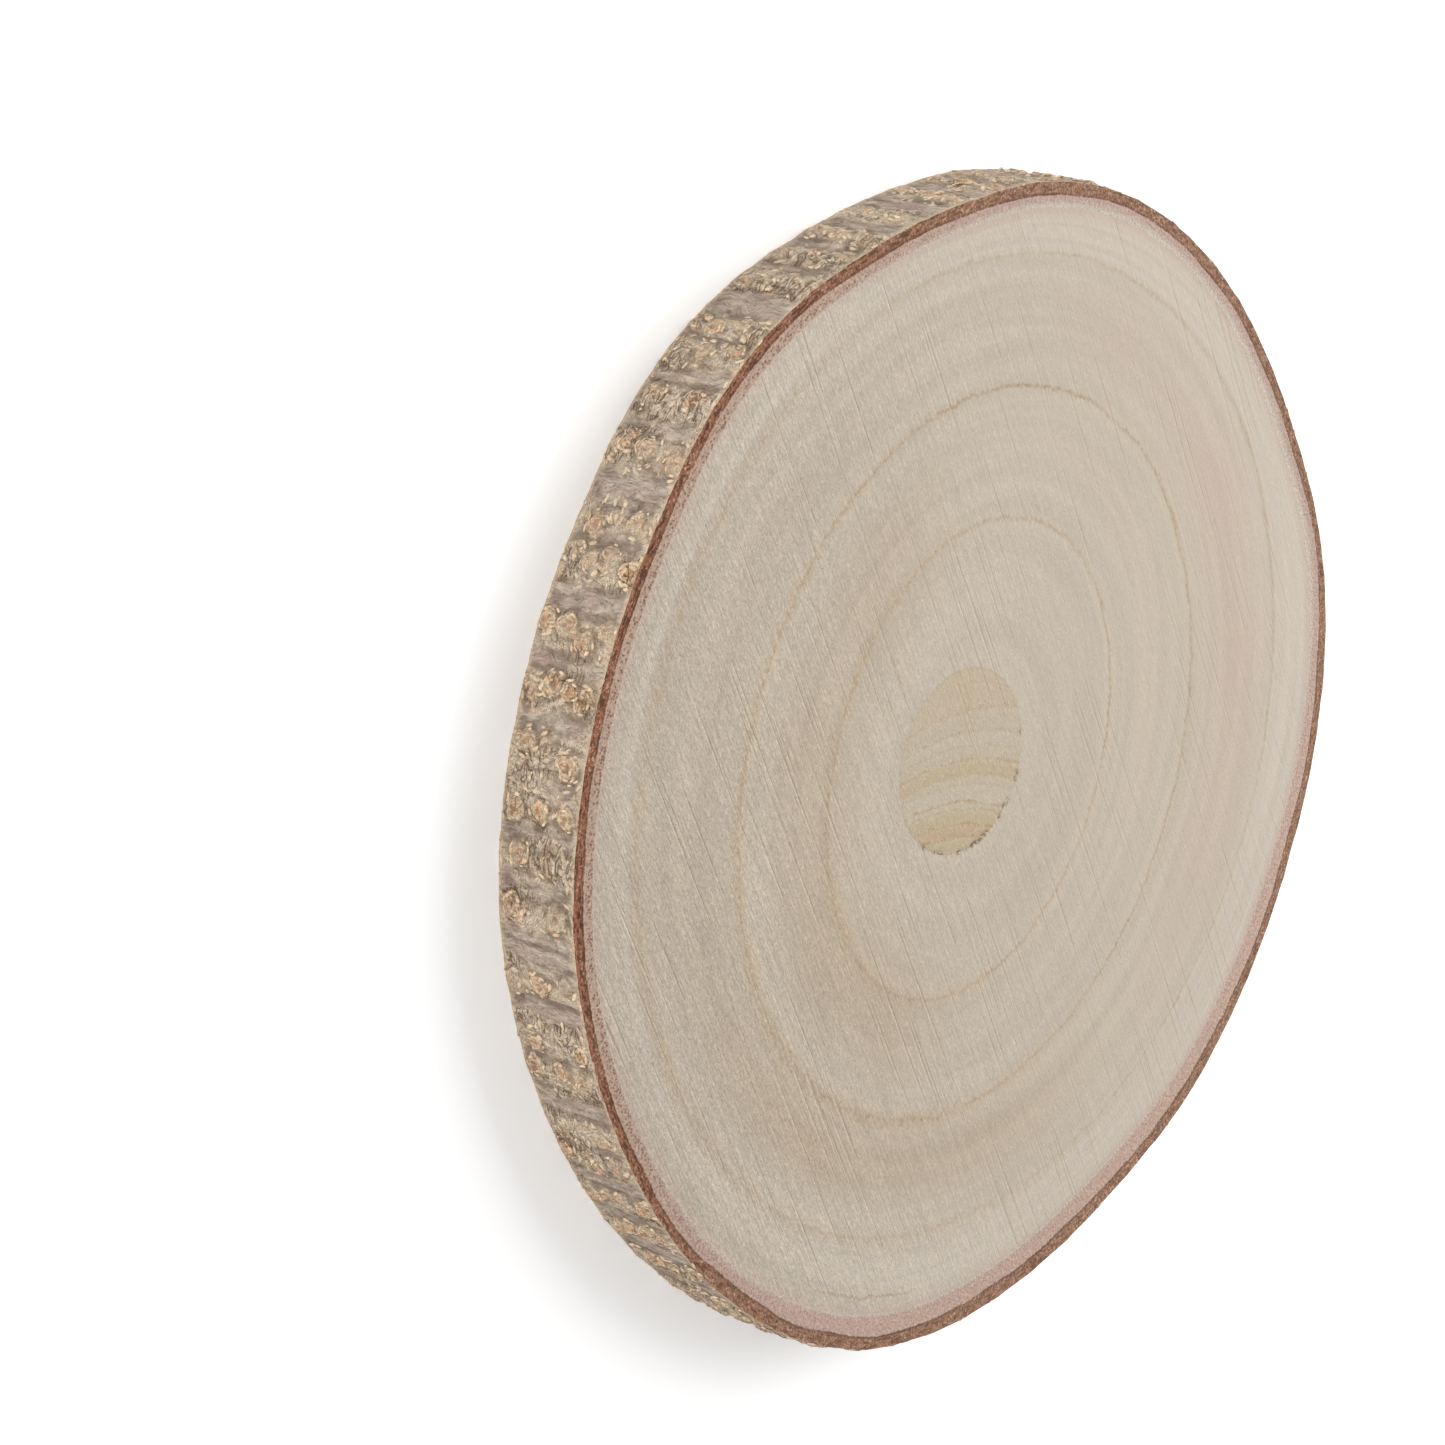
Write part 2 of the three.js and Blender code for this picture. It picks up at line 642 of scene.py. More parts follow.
@dataclass(frozen=True)
class Mottle:
    """Uneven patches: their size, how they are squeezed along each axis, and their contrast."""

    cell: float
    grain: tuple[float, float, float]
    contrast: float


@dataclass(frozen=True)
class Specks:
    """Separate small spots, such as pores: a share of the cells holds one each."""

    cell: float
    grain: tuple[float, float, float]
    size: float
    share: float


@dataclass(frozen=True)
class Flakes:
    """Thin scales of bark that overlap, in so many levels."""

    cell: float
    grain: tuple[float, float, float]
    levels: float


@dataclass(frozen=True)
class SawCut:
    """The saw's path over a face: its angle, in radians, and the spacing of its rows of teeth."""

    angle: float
    spacing: float


SAW = SawCut(math.radians(48), 0.95)
Pattern = Mottle | Specks | Flakes | SawCut


@dataclass(frozen=True)
class SawMark:
    """One kind of mark along the saw's path: noise that is much longer than it is wide.

    The counts are for each millimetre along the path and for each row of teeth across it. The mark
    starts at the low level of the noise and is full at the high one.
    """

    name: str
    per_length: float
    per_row: float
    detail: float
    low: float
    high: float
    shift: float = 0.0
    warp: float = 0.0


class Effects:
    """The effects that several finishes share, each built once as a node group."""

    saw_marks: tuple[SawMark, ...] = (
        SawMark("Lines", 0.015, 1.0, 1.5, 0.3, 0.7),
        SawMark("Streaks", 0.09, 3.1, 3.0, 0.3, 0.7),
        SawMark("Wool", 1.3, 3.8, 3.0, 0.28, 0.72, warp=1.2),
        SawMark("Scratches", 0.022, 2.3, 1.5, 0.672, 0.745),
        # Glints: painted highlight, the lit edge beside each scratch.
        SawMark("Glints", 0.022, 2.3, 1.5, 0.672, 0.745, shift=0.5),
    )

    def __init__(self) -> None:
        """Build the groups, one for each kind of pattern."""
        self.groups = {
            Mottle: self._mottle(),
            Specks: self._specks(),
            Flakes: self._flakes(),
            SawCut: self._saw_cut(),
        }

    @staticmethod
    def _start(name: str, inputs: Sequence[str], outputs: Sequence[str]) -> Group:
        """Start a group that reads a place.

        Args:
            name: of the group.
            inputs: the names of its inputs beside the place.
            outputs: the names of its outputs, all plain numbers.

        Returns:
            The group.
        """
        kinds = {label: "Vector" if label == "Grain" else "Float" for label in inputs}
        given = {"Place": "Vector", **kinds}
        return Group(name, "ShaderNodeTree", given, dict.fromkeys(outputs, "Float"))

    @staticmethod
    def _cells(group: Group) -> Value:
        """The group's place, pulled out along its grain and counted in cells."""
        pulled = group.given("Place").stretched(group.given("Grain"))
        return pulled.scaled(group.math("DIVIDE", 1.0, group.given("Cell")))

    def _mottle(self) -> bpy.types.NodeTree:
        """Build uneven patches: noise of a given cell, pulled out along any axis.

        Returns:
            The group.
        """
        group = self._start("mottle", ("Cell", "Grain", "Contrast"), ("Mask",))
        cloud = group.noise(self._cells(group), detail=3.0) - 0.5
        mask = group.math("MULTIPLY_ADD", cloud, group.given("Contrast"), 0.5, clamp=True)
        group.put_out("Mask", mask)
        return group.tree

    def _specks(self) -> bpy.types.NodeTree:
        """Build separate small spots, one in each of the cells that a lot chooses.

        Returns:
            The group.
        """
        group = self._start("specks", ("Cell", "Grain", "Size", "Share"), ("Mask",))
        feeds = {"Vector": self._cells(group), "Scale": 1.0}
        cells = group.add("ShaderNodeTexVoronoi", feeds, voronoi_dimensions="3D")
        spot = Value(group, cells.outputs["Distance"]).fade(group.given("Size"), 0.1)
        lot = Value(group, cells.outputs["Color"]).split()[0]
        group.put_out("Mask", spot * group.math("LESS_THAN", lot, group.given("Share")))
        return group.tree

    def _flakes(self) -> bpy.types.NodeTree:
        """Build thin scales that overlap: their height, and a line of painted shade under each edge.

        Returns:
            The group.
        """
        group = self._start("scales", ("Cell", "Grain", "Levels"), ("Height", "Edge"))
        cloud = group.noise(self._cells(group), detail=2.5)
        step = group.math("FRACT", cloud * group.given("Levels"))
        group.put_out("Height", step)
        # Edge: painted shade, a dark line under the edge of each scale.
        group.put_out("Edge", step.fade(0.25, 0.05))
        return group.tree

    def _saw_cut(self) -> bpy.types.NodeTree:
        """Build what the saw left: lines, streaks, woolly fibres, and scratches with a lit edge each.

        Returns:
            The group.
        """
        names = [mark.name for mark in self.saw_marks]
        group = self._start("saw_marks", ("Angle", "Spacing"), names)
        feeds = {"Vector": group.given("Place"), "Angle": group.given("Angle")}
        turned = group.value("ShaderNodeVectorRotate", feeds, rotation_type="Z_AXIS", invert=True)
        along, across, _ = turned.split()
        row = across / group.given("Spacing")
        for mark in self.saw_marks:
            spread = group.join(along * mark.per_length, row * mark.per_row + mark.shift)
            cloud = group.noise(spread, mark.detail, mark.warp, flat=True)
            group.put_out(mark.name, cloud.fade(mark.low, mark.high))
        return group.tree


class Surface(Graph):
    """The graph of one material: a Principled surface with its own colour and relief."""

    specular: float = 0.25

    def __init__(self, name: str, effects: Effects | None = None) -> None:
        """Start a material with a bare Principled surface.

        Args:
            name: of the material.
            effects: the shared node groups, for a finish that has patterns.
        """
        self.material = bpy.data.materials.new(name)
        self.material.use_nodes = True
        super().__init__(self.material.node_tree)
        self.effects = effects

    @cached_property
    def place(self) -> Value:
        """The point on the object, in millimetres."""
        return self.value("ShaderNodeTexCoord", {}, "Object").stretched((1 / MM,) * 3)

    def mark(self, name: str) -> Value:
        """A number that the mesh holds for its points."""
        return self.value("ShaderNodeAttribute", {}, "Fac", attribute_name=name)

    def lay(self, pattern: Pattern, place: Value | None = None) -> dict[str, Value]:
        """Place a shared effect with its own settings.

        Args:
            pattern: the effect's settings.
            place: where it is read, if not at the point on the object.

        Returns:
            The effect's outputs by name, in lower case.
        """
        node = self.add("ShaderNodeGroup", {}, node_tree=self.effects.groups[type(pattern)])
        given = {"place": self.place if place is None else place, **asdict(pattern)}
        for socket in node.inputs:
            self.feed(socket, given[socket.name.lower()])
        return {socket.name.lower(): Value(self, socket) for socket in node.outputs}

    def mask(self, pattern: Mottle | Specks, place: Value | None = None) -> Value:
        """Place a shared effect that puts out a single mask."""
        return self.lay(pattern, place)["mask"]

    def unrolled(self, depth: Value) -> Value:
        """A place for noise that is drawn out along the rim, closed round the trunk.

        Args:
            depth: how far into the bark points lie, in millimetres.

        Returns:
            The direction from the trunk's middle at the rim's radius, with the depth as third number.
        """
        direction = self.vector("NORMALIZE", self.place.stretched((1.0, 1.0, 0.0)))
        x, y, _ = direction.stretched((Trunk.mean_radius,) * 3).split()
        return self.join(x, y, depth)

    def dress(self, **feeds: Feed) -> bpy.types.Material:
        """Feed the Principled surface.

        Args:
            feeds: what goes into its inputs, by their names in lower case with underscores.

        Returns:
            The finished material.
        """
        for socket in self.tree.nodes["Principled BSDF"].inputs:
            key = socket.name.lower().replace(" ", "_")
            if key in feeds:
                self.feed(socket, feeds[key])
        return self.material

    def finish(self, colour: Value, roughness: Number, height: Value, depth: float) -> bpy.types.Material:
        """Feed the surface of a piece.

        Args:
            colour: base colour.
            roughness: of the surface.
            height: of the fine relief, from 0 to 1.
            depth: of that relief, in millimetres.

        Returns:
            The finished material.
        """
        bump = self.value("ShaderNodeBump", {"Height": height, "Distance": depth * MM})
        return self.dress(
            base_color=colour, roughness=roughness, specular_ior_level=self.specular, normal=bump
        )


@dataclass(frozen=True)
class Flank:
    """One side of the slice, as a share that rises from a start to where it is full.

    Both are millimetres from the middle of the slice, counted towards the angle.
    """

    angle: float
    start: float
    full: float

    def on(self, surface: Surface) -> Value:
        """How far points lie towards this side.

        Args:
            surface: that the points are on.

        Returns:
            The share, from 0 to 1.
        """
        x, y, _ = surface.place.split()
        turn = math.radians(self.angle)
        return (x * math.cos(turn) + y * math.sin(turn)).fade(self.start, self.full)


@dataclass(frozen=True)
class WoodZone:
    """Wood with a tint of its own: some years' growth, on one side of the trunk."""

    tint: Colour
    year: float
    years_each_way: float
    flank: Flank
    strength: float


@dataclass(frozen=True)
class SawnWoodFinish:
    """Bare end grain of the slice: pale wood, few wide growth rings, saw marks across it all."""

    heart: Colour = paint("c0b4a3")
    sapwood: Colour = paint("c4b9aa")
    zones: tuple[WoodZone, ...] = (
        WoodZone(paint("b09a80"), 2.35, 0.55, Flank(-5, 15, 60), 0.5),
        WoodZone(paint("b3a089"), 1.25, 0.85, Flank(-68, -4, 26), 0.45),
        WoodZone(paint("b4a493"), 2.4, 0.55, Flank(-85, 20, 55), 0.42),
        WoodZone(paint("c1ad9e"), 2.5, 0.6, Flank(125, 15, 55), 0.5),
        WoodZone(paint("c4b5a4"), 1.55, 0.5, Flank(135, 5, 35), 0.3),
        WoodZone(paint("b1a18f"), 3.0, 0.55, Flank(-72, 25, 75), 0.45),
        WoodZone(paint("b4a795"), 3.8, 0.6, Flank(-58, 20, 65), 0.5),
    )
    ring_lines: tuple[tuple[str, float], ...] = (("ring_1", 0.8), ("ring_2", 0.92), ("ring_3", 0.54))
    ring_line: Colour = paint("98784a")
    ring_pore: Colour = paint("ad8748")
    young_wood: Colour = paint("bfa699")
    scratch: Colour = paint("8f7a5c")
    glint: Colour = paint("d6cab8")
    seam: Colour = paint("6d5138")
    clouds: Mottle = Mottle(22.0, (1, 1, 0.2), 0.9)
    crumbs: Mottle = Mottle(0.8, (1, 1, 0.3), 3.0)
    wander: Mottle = Mottle(4.0, (1, 1, 0.2), 1.2)
    faint: Mottle = Mottle(11.0, (1, 1, 0.2), 2.6)
    pores: Specks = Specks(0.75, (1, 1, 0.2), 0.75, 0.6)
    rough_flank: Flank = Flank(-62, -50, 65)
    broad_flank: Flank = Flank(-45, -25, 45)
    late_flank: Flank = Flank(4, 70.5, 71.5)
    late_line: float = 2.4
    bands_per_year: float = 8.5
    bands_per_mm: float = 0.02
    relief_depth: float = 0.06

    def material(self, effects: Effects) -> bpy.types.Material:
        """Build the material.

        Args:
            effects: the shared node groups.

        Returns:
            The finish for the sawn wood.
        """
        surface = Surface("sawn_wood", effects)
        saw = surface.lay(SAW)
        crumbs = surface.mask(self.crumbs)
        colour = self._ringed(surface, self._zoned(surface), saw["streaks"], crumbs)
        colour = self._sawn(surface, colour, saw)
        colour = colour.tinted(surface.mark("seam") * crumbs.fade(0.3, 0.7), self.seam)
        relief = saw["wool"] * 0.6 + saw["streaks"] * 0.3 + saw["lines"] * 0.25 - saw["scratches"] * 0.4
        return surface.finish(colour, saw["streaks"] * 0.12 + 0.68, relief, self.relief_depth)

    def _zoned(self, surface: Surface) -> Value:
        """The wood's own colour, without lines and saw marks.

        Args:
            surface: the material's graph.

        Returns:
            The colour, with soft bands that follow the growth.
        """
        growth = surface.mark("growth")
        clouds = surface.mask(self.clouds)
        colour = surface.mix(growth.fade(2.6, 3.5), self.heart, self.sapwood)
        for zone in self.zones:
            grown = growth.near(zone.year, zone.years_each_way) * zone.flank.on(surface) * clouds
            share = surface.math("MULTIPLY", grown, 2 * zone.strength, clamp=True)
            colour = colour.tinted(share, zone.tint)
        x, y, _ = surface.place.split()
        spread = surface.join(growth * self.bands_per_year, x * self.bands_per_mm, y * self.bands_per_mm)
        colour = colour.shaded(surface.noise(spread, 4.0).fade(0.3, 0.7), 0.042)
        return colour.tinted(surface.mark("cambium").fade(1.6, 0.0) * 0.5, self.young_wood)

    def _ringed(self, surface: Surface, colour: Value, streaks: Value, crumbs: Value) -> Value:
        """Draw the growth rings: a thin dark line on one side of the trunk, a band of pores on the other.

        Args:
            surface: the material's graph.
            colour: of the wood.
            streaks: of the saw, along which the lines are torn.
            crumbs: fine noise that breaks the lines up.

        Returns:
            The colour with its rings.
        """
        faint = surface.mask(self.faint)
        broad = self.broad_flank.on(surface)
        torn = streaks * 0.4 + surface.mask(self.wander) - 0.7
        dashes = crumbs * 0.65 + 0.28
        sharp = (faint * 0.75 + 0.17) * (broad * -0.4 + 1.0)
        soft = (faint * -0.3 + 0.48) * (surface.mask(self.pores) + 0.5) * (broad * 0.6 + 0.7)
        width = broad * 1.6 + 0.9
        late = surface.mark("cambium") + torn - self.late_line
        thin = late.near(0.0, 0.35) * dashes * self.late_flank.on(surface) * 0.6
        for name, strength in self.ring_lines:
            away = surface.mark(name) + torn
            colour = colour.tinted(away.near(0.1, width) * soft * dashes * strength, self.ring_pore)
            thin = thin.most(away.near(0.0, 0.42) * sharp * dashes * strength)
        return colour.tinted(thin, self.ring_line)

    def _sawn(self, surface: Surface, colour: Value, saw: dict[str, Value]) -> Value:
        """Lay the saw's marks over a colour, stronger where the face is rougher.

        Args:
            surface: the material's graph.
            colour: of the wood with its rings.
            saw: the marks by name.

        Returns:
            The colour with the marks.
        """
        rough = self.rough_flank.on(surface) * 0.75 + 0.25
        cut = rough * 0.33 + 0.14
        # Painted highlight: the lit edge beside each scratch, in the glint colour.
        colour = colour.tinted(saw["glints"] * cut, self.glint)
        colour = colour.tinted(saw["scratches"] * cut, self.scratch)
        colour = colour.shaded(saw["lines"], rough * 0.02)
        colour = colour.shaded(saw["wool"], surface.math("POWER", rough, 1.3) * 0.2)
        return colour.shaded(saw["streaks"], rough * 0.075)


@dataclass(frozen=True)
class PlugBand:
    """One band of the plug's growth: where it starts across the plug, its tint and the line before it."""

    start: float
    tint: Colour
    line: float


@dataclass(frozen=True)
class PlugFinish:
    """Wood of the plug: yellower, with close bowed bands of growth."""

    straw: Colour = paint("c0b098")
    pale: Colour = paint("c0b4a0")
    middle: Colour = paint("beb19c")
    tan: Colour = paint("bcab8f")
    rust: Colour = paint("bca58a")
    line: Colour = paint("ab8550")
    # Pale thread in the plug's bands; also the colour of the painted highlight beside each scratch.
    thread_and_glint: Colour = paint("d3c5a8")
    seam: Colour = paint("5c432e")
    wander: Mottle = Mottle(5.0, (1, 0.4, 0.2), 1.0)
    crumbs: Mottle = Mottle(0.7, (1, 0.5, 0.3), 3.0)
    bow: float = 0.015
    bow_middle: float = 10.3
    roughness: float = 0.68
    relief_depth: float = 0.05

    def bands(self) -> tuple[PlugBand, ...]:
        """The bands in order across the plug, in millimetres from its middle.

        Returns:
            The bands, of which the straw colour lies before the first.
        """
        return (
            PlugBand(-8.8, self.middle, 0.35),
            PlugBand(-5.7, self.pale, 0.35),
            PlugBand(-3.7, self.middle, 0.2),
            PlugBand(-1.7, self.tan, 0.35),
            PlugBand(0.5, self.middle, 0.25),
            PlugBand(1.9, self.pale, 0.15),
            PlugBand(4.4, self.middle, 0.6),
            PlugBand(5.3, self.tan, 0.2),
            PlugBand(7.5, self.rust, 0.45),
            PlugBand(9.3, self.tan, 0.7),
        )

    def material(self, effects: Effects, place: SlicePlace) -> bpy.types.Material:
        """Build the material.

        Args:
            effects: the shared node groups.
            place: the slice's place, for the plug's own middle.

        Returns:
            The finish for the plug.
        """
        surface = Surface("plug_wood", effects)
        x, y, _ = surface.place.split()
        middle_x, middle_y = place.plug_centre.tolist()
        sideways = y - (middle_y + self.bow_middle)
        crumbs = surface.mask(self.crumbs)
        shift = surface.mask(self.wander) * 1.4 + crumbs * 0.6 - 1.0
        level = x - middle_x - sideways * sideways * self.bow + shift
        saw = surface.lay(SAW)
        colour = self._banded(surface, level, crumbs).shaded(saw["wool"], 0.1)
        # Painted highlight: the lit edge beside each scratch, in the pale thread colour.
        colour = colour.tinted(saw["glints"] * 0.3, self.thread_and_glint)
        colour = colour.tinted(saw["scratches"] * 0.42, self.line)
        colour = colour.tinted(surface.mark("seam") * crumbs.fade(0.3, 0.7), self.seam)
        relief = saw["wool"] - saw["scratches"] * 0.6
        return surface.finish(colour, self.roughness, relief, self.relief_depth)

    def _banded(self, surface: Surface, level: Value, crumbs: Value) -> Value:
        """Colour the bands, with a thin rusty line where each starts and a pale thread after it.

        Args:
            surface: the material's graph.
            level: how far across the bands a point lies.
            crumbs: fine noise that breaks the lines up.

        Returns:
            The colour.
        """
        colour = self.straw
        for band in self.bands():
            colour = surface.mix(level.fade(band.start - 0.5, band.start + 0.7), colour, band.tint)
        broken = crumbs.fade(0.2, 0.75)
        for band in self.bands():
            colour = colour.tinted(level.near(band.start + 0.5, 0.3) * 0.16, self.thread_and_glint)
            colour = colour.tinted(level.near(band.start, 0.34) * broken * band.line, self.line)
        return colour


@dataclass(frozen=True)
class BarkCutFinish:
    """Bark where the saw cut it: brown crumbly cork outside, pink inner bark against the wood.

    The mesh marks its layers from 0 at the rim, over 1 where the cork ends, to 2 at the wood.
    """

    cork: Colour = paint("99735c")
    cork_red: Colour = paint("946047")
    cork_light: Colour = paint("bfa089")
    cork_dark: Colour = paint("4c2f21")
    inner_bark: Colour = paint("b9a094")
    inner_bark_red: Colour = paint("b9a08d")
    inner_bark_pink: Colour = paint("c0a596")
    inner_bark_speck: Colour = paint("743f31")
    new_wood: Colour = paint("c5b9aa")
    crumbs: Mottle = Mottle(0.45, (1, 1, 1), 4.0)
    grit: Mottle = Mottle(0.22, (1, 1, 1), 4.0)
    streaks: Mottle = Mottle(1.5, (1, 1, 2.6), 3.2)
    patches: Mottle = Mottle(5.0, (1, 1, 1.5), 2.4)
    pits: Specks = Specks(0.6, (1, 1, 1), 0.6, 0.35)
    dots: Specks = Specks(0.39, (1, 1, 1), 0.78, 0.55)
    red_flank: Flank = Flank(275, 5, 78)
    pink_flank: Flank = Flank(48, 12, 64)
    cork_depth: float = 2.2
    roughness: float = 0.85
    relief_depth: float = 0.12

    def material(self, effects: Effects) -> bpy.types.Material:
        """Build the material.

        Args:
            effects: the shared node groups.

        Returns:
            The finish for the bark's cut faces.
        """
        surface = Surface("cut_bark", effects)
        crumbs = surface.mask(self.crumbs)
        grit = surface.mask(self.grit)
        red = self.red_flank.on(surface)
        cork, dark = self._cork(surface, crumbs, red)
        flesh = self._flesh(surface, crumbs, red)
        outside = ((crumbs - 0.5) * 0.05 + surface.mark("layer")).fade(1.04, 0.96)
        colour = flesh.shaded(grit, 0.14).tinted(outside, cork.shaded(grit, 0.3))
        relief = crumbs - dark * outside * 0.8
        return surface.finish(colour, self.roughness, relief, self.relief_depth)

    def _cork(self, surface: Surface, crumbs: Value, red: Value) -> tuple[Value, Value]:
        """Colour the cork: dark streaks along the rim, dark pits and pale crumbs.

        Args:
            surface: the material's graph.
            crumbs: fine noise.
            red: how far points lie towards the side with redder cork.

        Returns:
            The colour, and the share of its dark places.
        """
        layer = surface.mark("layer")
        rolled = surface.unrolled(layer * self.cork_depth)
        patch = surface.mask(self.patches, rolled)
        colour = surface.mix(red, self.cork, self.cork_red)
        colour = colour.tinted(crumbs.fade(0.5, 0.95) * (patch * 0.8 + 0.1), self.cork_light)
        inner_edge = layer.near(0.93, 0.22) * (patch * -0.5 + 0.7)
        streaks = surface.mask(self.streaks, rolled).fade(0.5, 0.2)
        streaked = streaks * (patch * -0.5 + 1.0) * (red * 0.45 + 0.55)
        dark = (surface.mask(self.pits) * 0.65).most(inner_edge).most(streaked)
        return colour.tinted(dark, self.cork_dark), dark

    def _flesh(self, surface: Surface, crumbs: Value, red: Value) -> Value:
        """Colour the inner bark: pink, with a row of dark specks, fading to new wood on the paler side.

        Args:
            surface: the material's graph.
            crumbs: fine noise.
            red: how far points lie towards the side with more specks.

        Returns:
            The colour.
        """
        layer = surface.mark("layer")
        pink = self.pink_flank.on(surface)
        colour = surface.mix(red, self.inner_bark, self.inner_bark_red).tinted(pink, self.inner_bark_pink)
        row = layer.near(1.6, 0.9).most(0.35)
        spotted = surface.mask(self.dots) * row * (red * 0.75 + 0.2)
        colour = colour.tinted(spotted, self.inner_bark_speck).shaded(crumbs, 0.07)
        pale = (layer - red.most(pink) * 0.6).fade(1.2, 1.9)
        return colour.tinted(pale.most(layer.fade(1.8, 2.0)), self.new_wood)


@dataclass(frozen=True)
class BarkSurfaceFinish:
    """Outside of the bark: grey fibres along the trunk, cream scaly ridges and rusty lenticels."""

    grey: Colour = paint("c0b1a1")
    grey_deep: Colour = paint("958372")
    hair: Colour = paint("cfc2b3")
    blush: Colour = paint("aa9086")
    scales: Colour = paint("b5a08a")
    scales_light: Colour = paint("e0cfb6")
    scales_tan: Colour = paint("c79c73")
    wart: Colour = paint("bc9873")
    wart_light: Colour = paint("e6d0af")
    wart_core: Colour = paint("b87a54")
    # Colour of painted shade: in hollows, under the edges of strips and scales, and in and round the
    # lenticels.
    crevice_shade: Colour = paint("4d3727")
    crack: Colour = paint("5e4029")
    lip: Colour = paint("d3bb9c")
    sway: Mottle = Mottle(4.0, (1, 1, 1), 2.0)
    fibre: Mottle = Mottle(0.4, (1, 1, 0.2), 3.6)
    hairs: Mottle = Mottle(0.35, (1, 1, 0.12), 4.0)
    brush: Mottle = Mottle(1.5, (1, 1, 0.3), 2.6)
    patches: Mottle = Mottle(6.0, (1, 1, 0.6), 2.6)
    crumbs: Mottle = Mottle(0.6, (1, 1, 0.9), 3.4)
    strips: Flakes = Flakes(1.3, (1, 1, 0.4), 7.0)
    flakes: Flakes = Flakes(1.3, (1, 1, 1.2), 10.0)
    cracks_per_mm: tuple[float, float, float] = (0.45, 0.45, 1.0)
    wart_ripple: float = 17.0
    roughness: float = 0.88
    relief_depth: float = 0.22

    def material(self, effects: Effects) -> bpy.types.Material:
        """Build the material.

        Args:
            effects: the shared node groups.

        Returns:
            The finish for the bark's outside.
        """
        surface = Surface("bark_surface", effects)
        sway = surface.mask(self.sway)
        bent = surface.vector("ADD", surface.place, surface.join(sway * 1.8, sway * -1.5))
        fibre, hairs, brush = (surface.mask(mottle, bent) for mottle in (self.fibre, self.hairs, self.brush))
        patch = surface.mask(self.patches)
        crumbs = surface.mask(self.crumbs)
        strips = surface.lay(self.strips, bent)
        flakes = surface.lay(self.flakes, bent)
        scaly = (surface.mark("column") + brush * 0.5 + patch * 0.8 - 0.6).fade(0.4, 0.85)
        lines = surface.noise(bent.stretched(self.cracks_per_mm), 2.0, warp=0.6)
        cracks = lines.near(0.5, 0.065) * patch.fade(0.4, 0.7) * scaly

        colour = surface.mix(brush, self.grey_deep, self.grey)
        colour = colour.tinted(sway.fade(0.55, 0.85) * 0.5, self.blush)
        # Painted shade: a dark line under the edge of each strip of fibre.
        colour = colour.tinted(strips["edge"] * 0.45, self.crevice_shade)
        colour = colour.tinted(hairs.fade(0.7, 0.98) * 0.35, self.hair)
        flaky = surface.mix(flakes["height"], self.scales, self.scales_light)
        flaky = flaky.tinted(sway.fade(0.5, 0.2) * crumbs * 0.6, self.scales_tan)
        # Painted shade: a dark line under the edge of each scale.
        flaky = flaky.tinted(flakes["edge"] * 0.6, self.crevice_shade)
        colour = colour.tinted(scaly * 0.9, flaky)
        colour = self._warted(surface, colour, crumbs, brush)
        colour = colour.tinted(cracks * 0.7, self.crack).shaded(fibre, 0.17)
        # Painted shade in the hollows of the rim's relief.
        colour = colour.tinted(surface.mark("hollow_shade") * 0.45, self.crevice_shade)
        colour = colour.tinted(surface.mark("lip") * (crumbs * 0.6 + 0.35), self.lip)

        relief = flakes["height"] * scaly * 0.5 + fibre * 0.35 + strips["height"] * 0.25 + crumbs * 0.2
        return surface.finish(colour, self.roughness, relief - cracks * 0.7, self.relief_depth)

    def _warted(self, surface: Surface, colour: Value, crumbs: Value, brush: Value) -> Value:
        """Draw the lenticels' rings over the bark's colour.

        Args:
            surface: the material's graph.
            colour: of the bark round them.
            crumbs: fine noise that makes the rings uneven.
            brush: coarser noise that breaks their outline.

        Returns:
            The colour with lenticels.
        """
        tone = surface.mark("tone")
        reach = surface.mark("wart") + crumbs * 0.3 - 0.15
        ripple = surface.math("SINE", reach * self.wart_ripple) * 0.5 + 0.5
        ringed = surface.mix(ripple, self.wart, self.wart_light)
        ringed = ringed.tinted(reach.fade(0.5, 0.1) * (crumbs * 0.5 + 0.5), self.wart_core)
        # Painted shade in the gaps between a lenticel's crumbs.
        ringed = ringed.tinted(crumbs.fade(0.42, 0.1) * 0.7, self.crevice_shade)
        colour = colour.tinted(reach.fade(1.25, 0.75) * (brush * 0.6 + 0.4) * tone, ringed)
        # Painted shade round the lenticel's edge.
        outline = reach.near(1.02, 0.14) * brush.fade(0.5, 0.75) * tone * 0.7
        return colour.tinted(outline, self.crevice_shade)


@dataclass(frozen=True)
class BarkScaleFinish:
    """Small scales of cork: cream and tan, rusty in the middle of a lenticel, greyer off the ridges."""

    cream: Colour = paint("eed7b8")
    tan: Colour = paint("cfa277")
    rust: Colour = paint("c88458")
    grey: Colour = paint("bba88f")
    grain: Mottle = Mottle(0.3, (1, 1, 0.6), 3.0)
    roughness: float = 0.85
    relief_depth: float = 0.05

    def material(self, effects: Effects) -> bpy.types.Material:
        """Build the material.

        Args:
            effects: the shared node groups.

        Returns:
            The finish for the scales.
        """
        surface = Surface("bark_scales", effects)
        tint = surface.mark("tint")
        wart = surface.mark("wart")
        grain = surface.mask(self.grain)
        colour = surface.mix(tint * 0.8, self.grey, self.cream)
        outer = wart.fade(0.4, 0.9) * 0.6 + tint * 0.4
        colour = colour.tinted(wart.fade(1.3, 1.0), surface.mix(outer, self.tan, self.cream))
        core = wart.fade(0.6, 0.2) * tint.fade(0.8, 0.3) * surface.mark("tone")
        colour = colour.tinted(core, self.rust).shaded(grain, 0.18)
        return surface.finish(colour, self.roughness, grain, self.relief_depth)


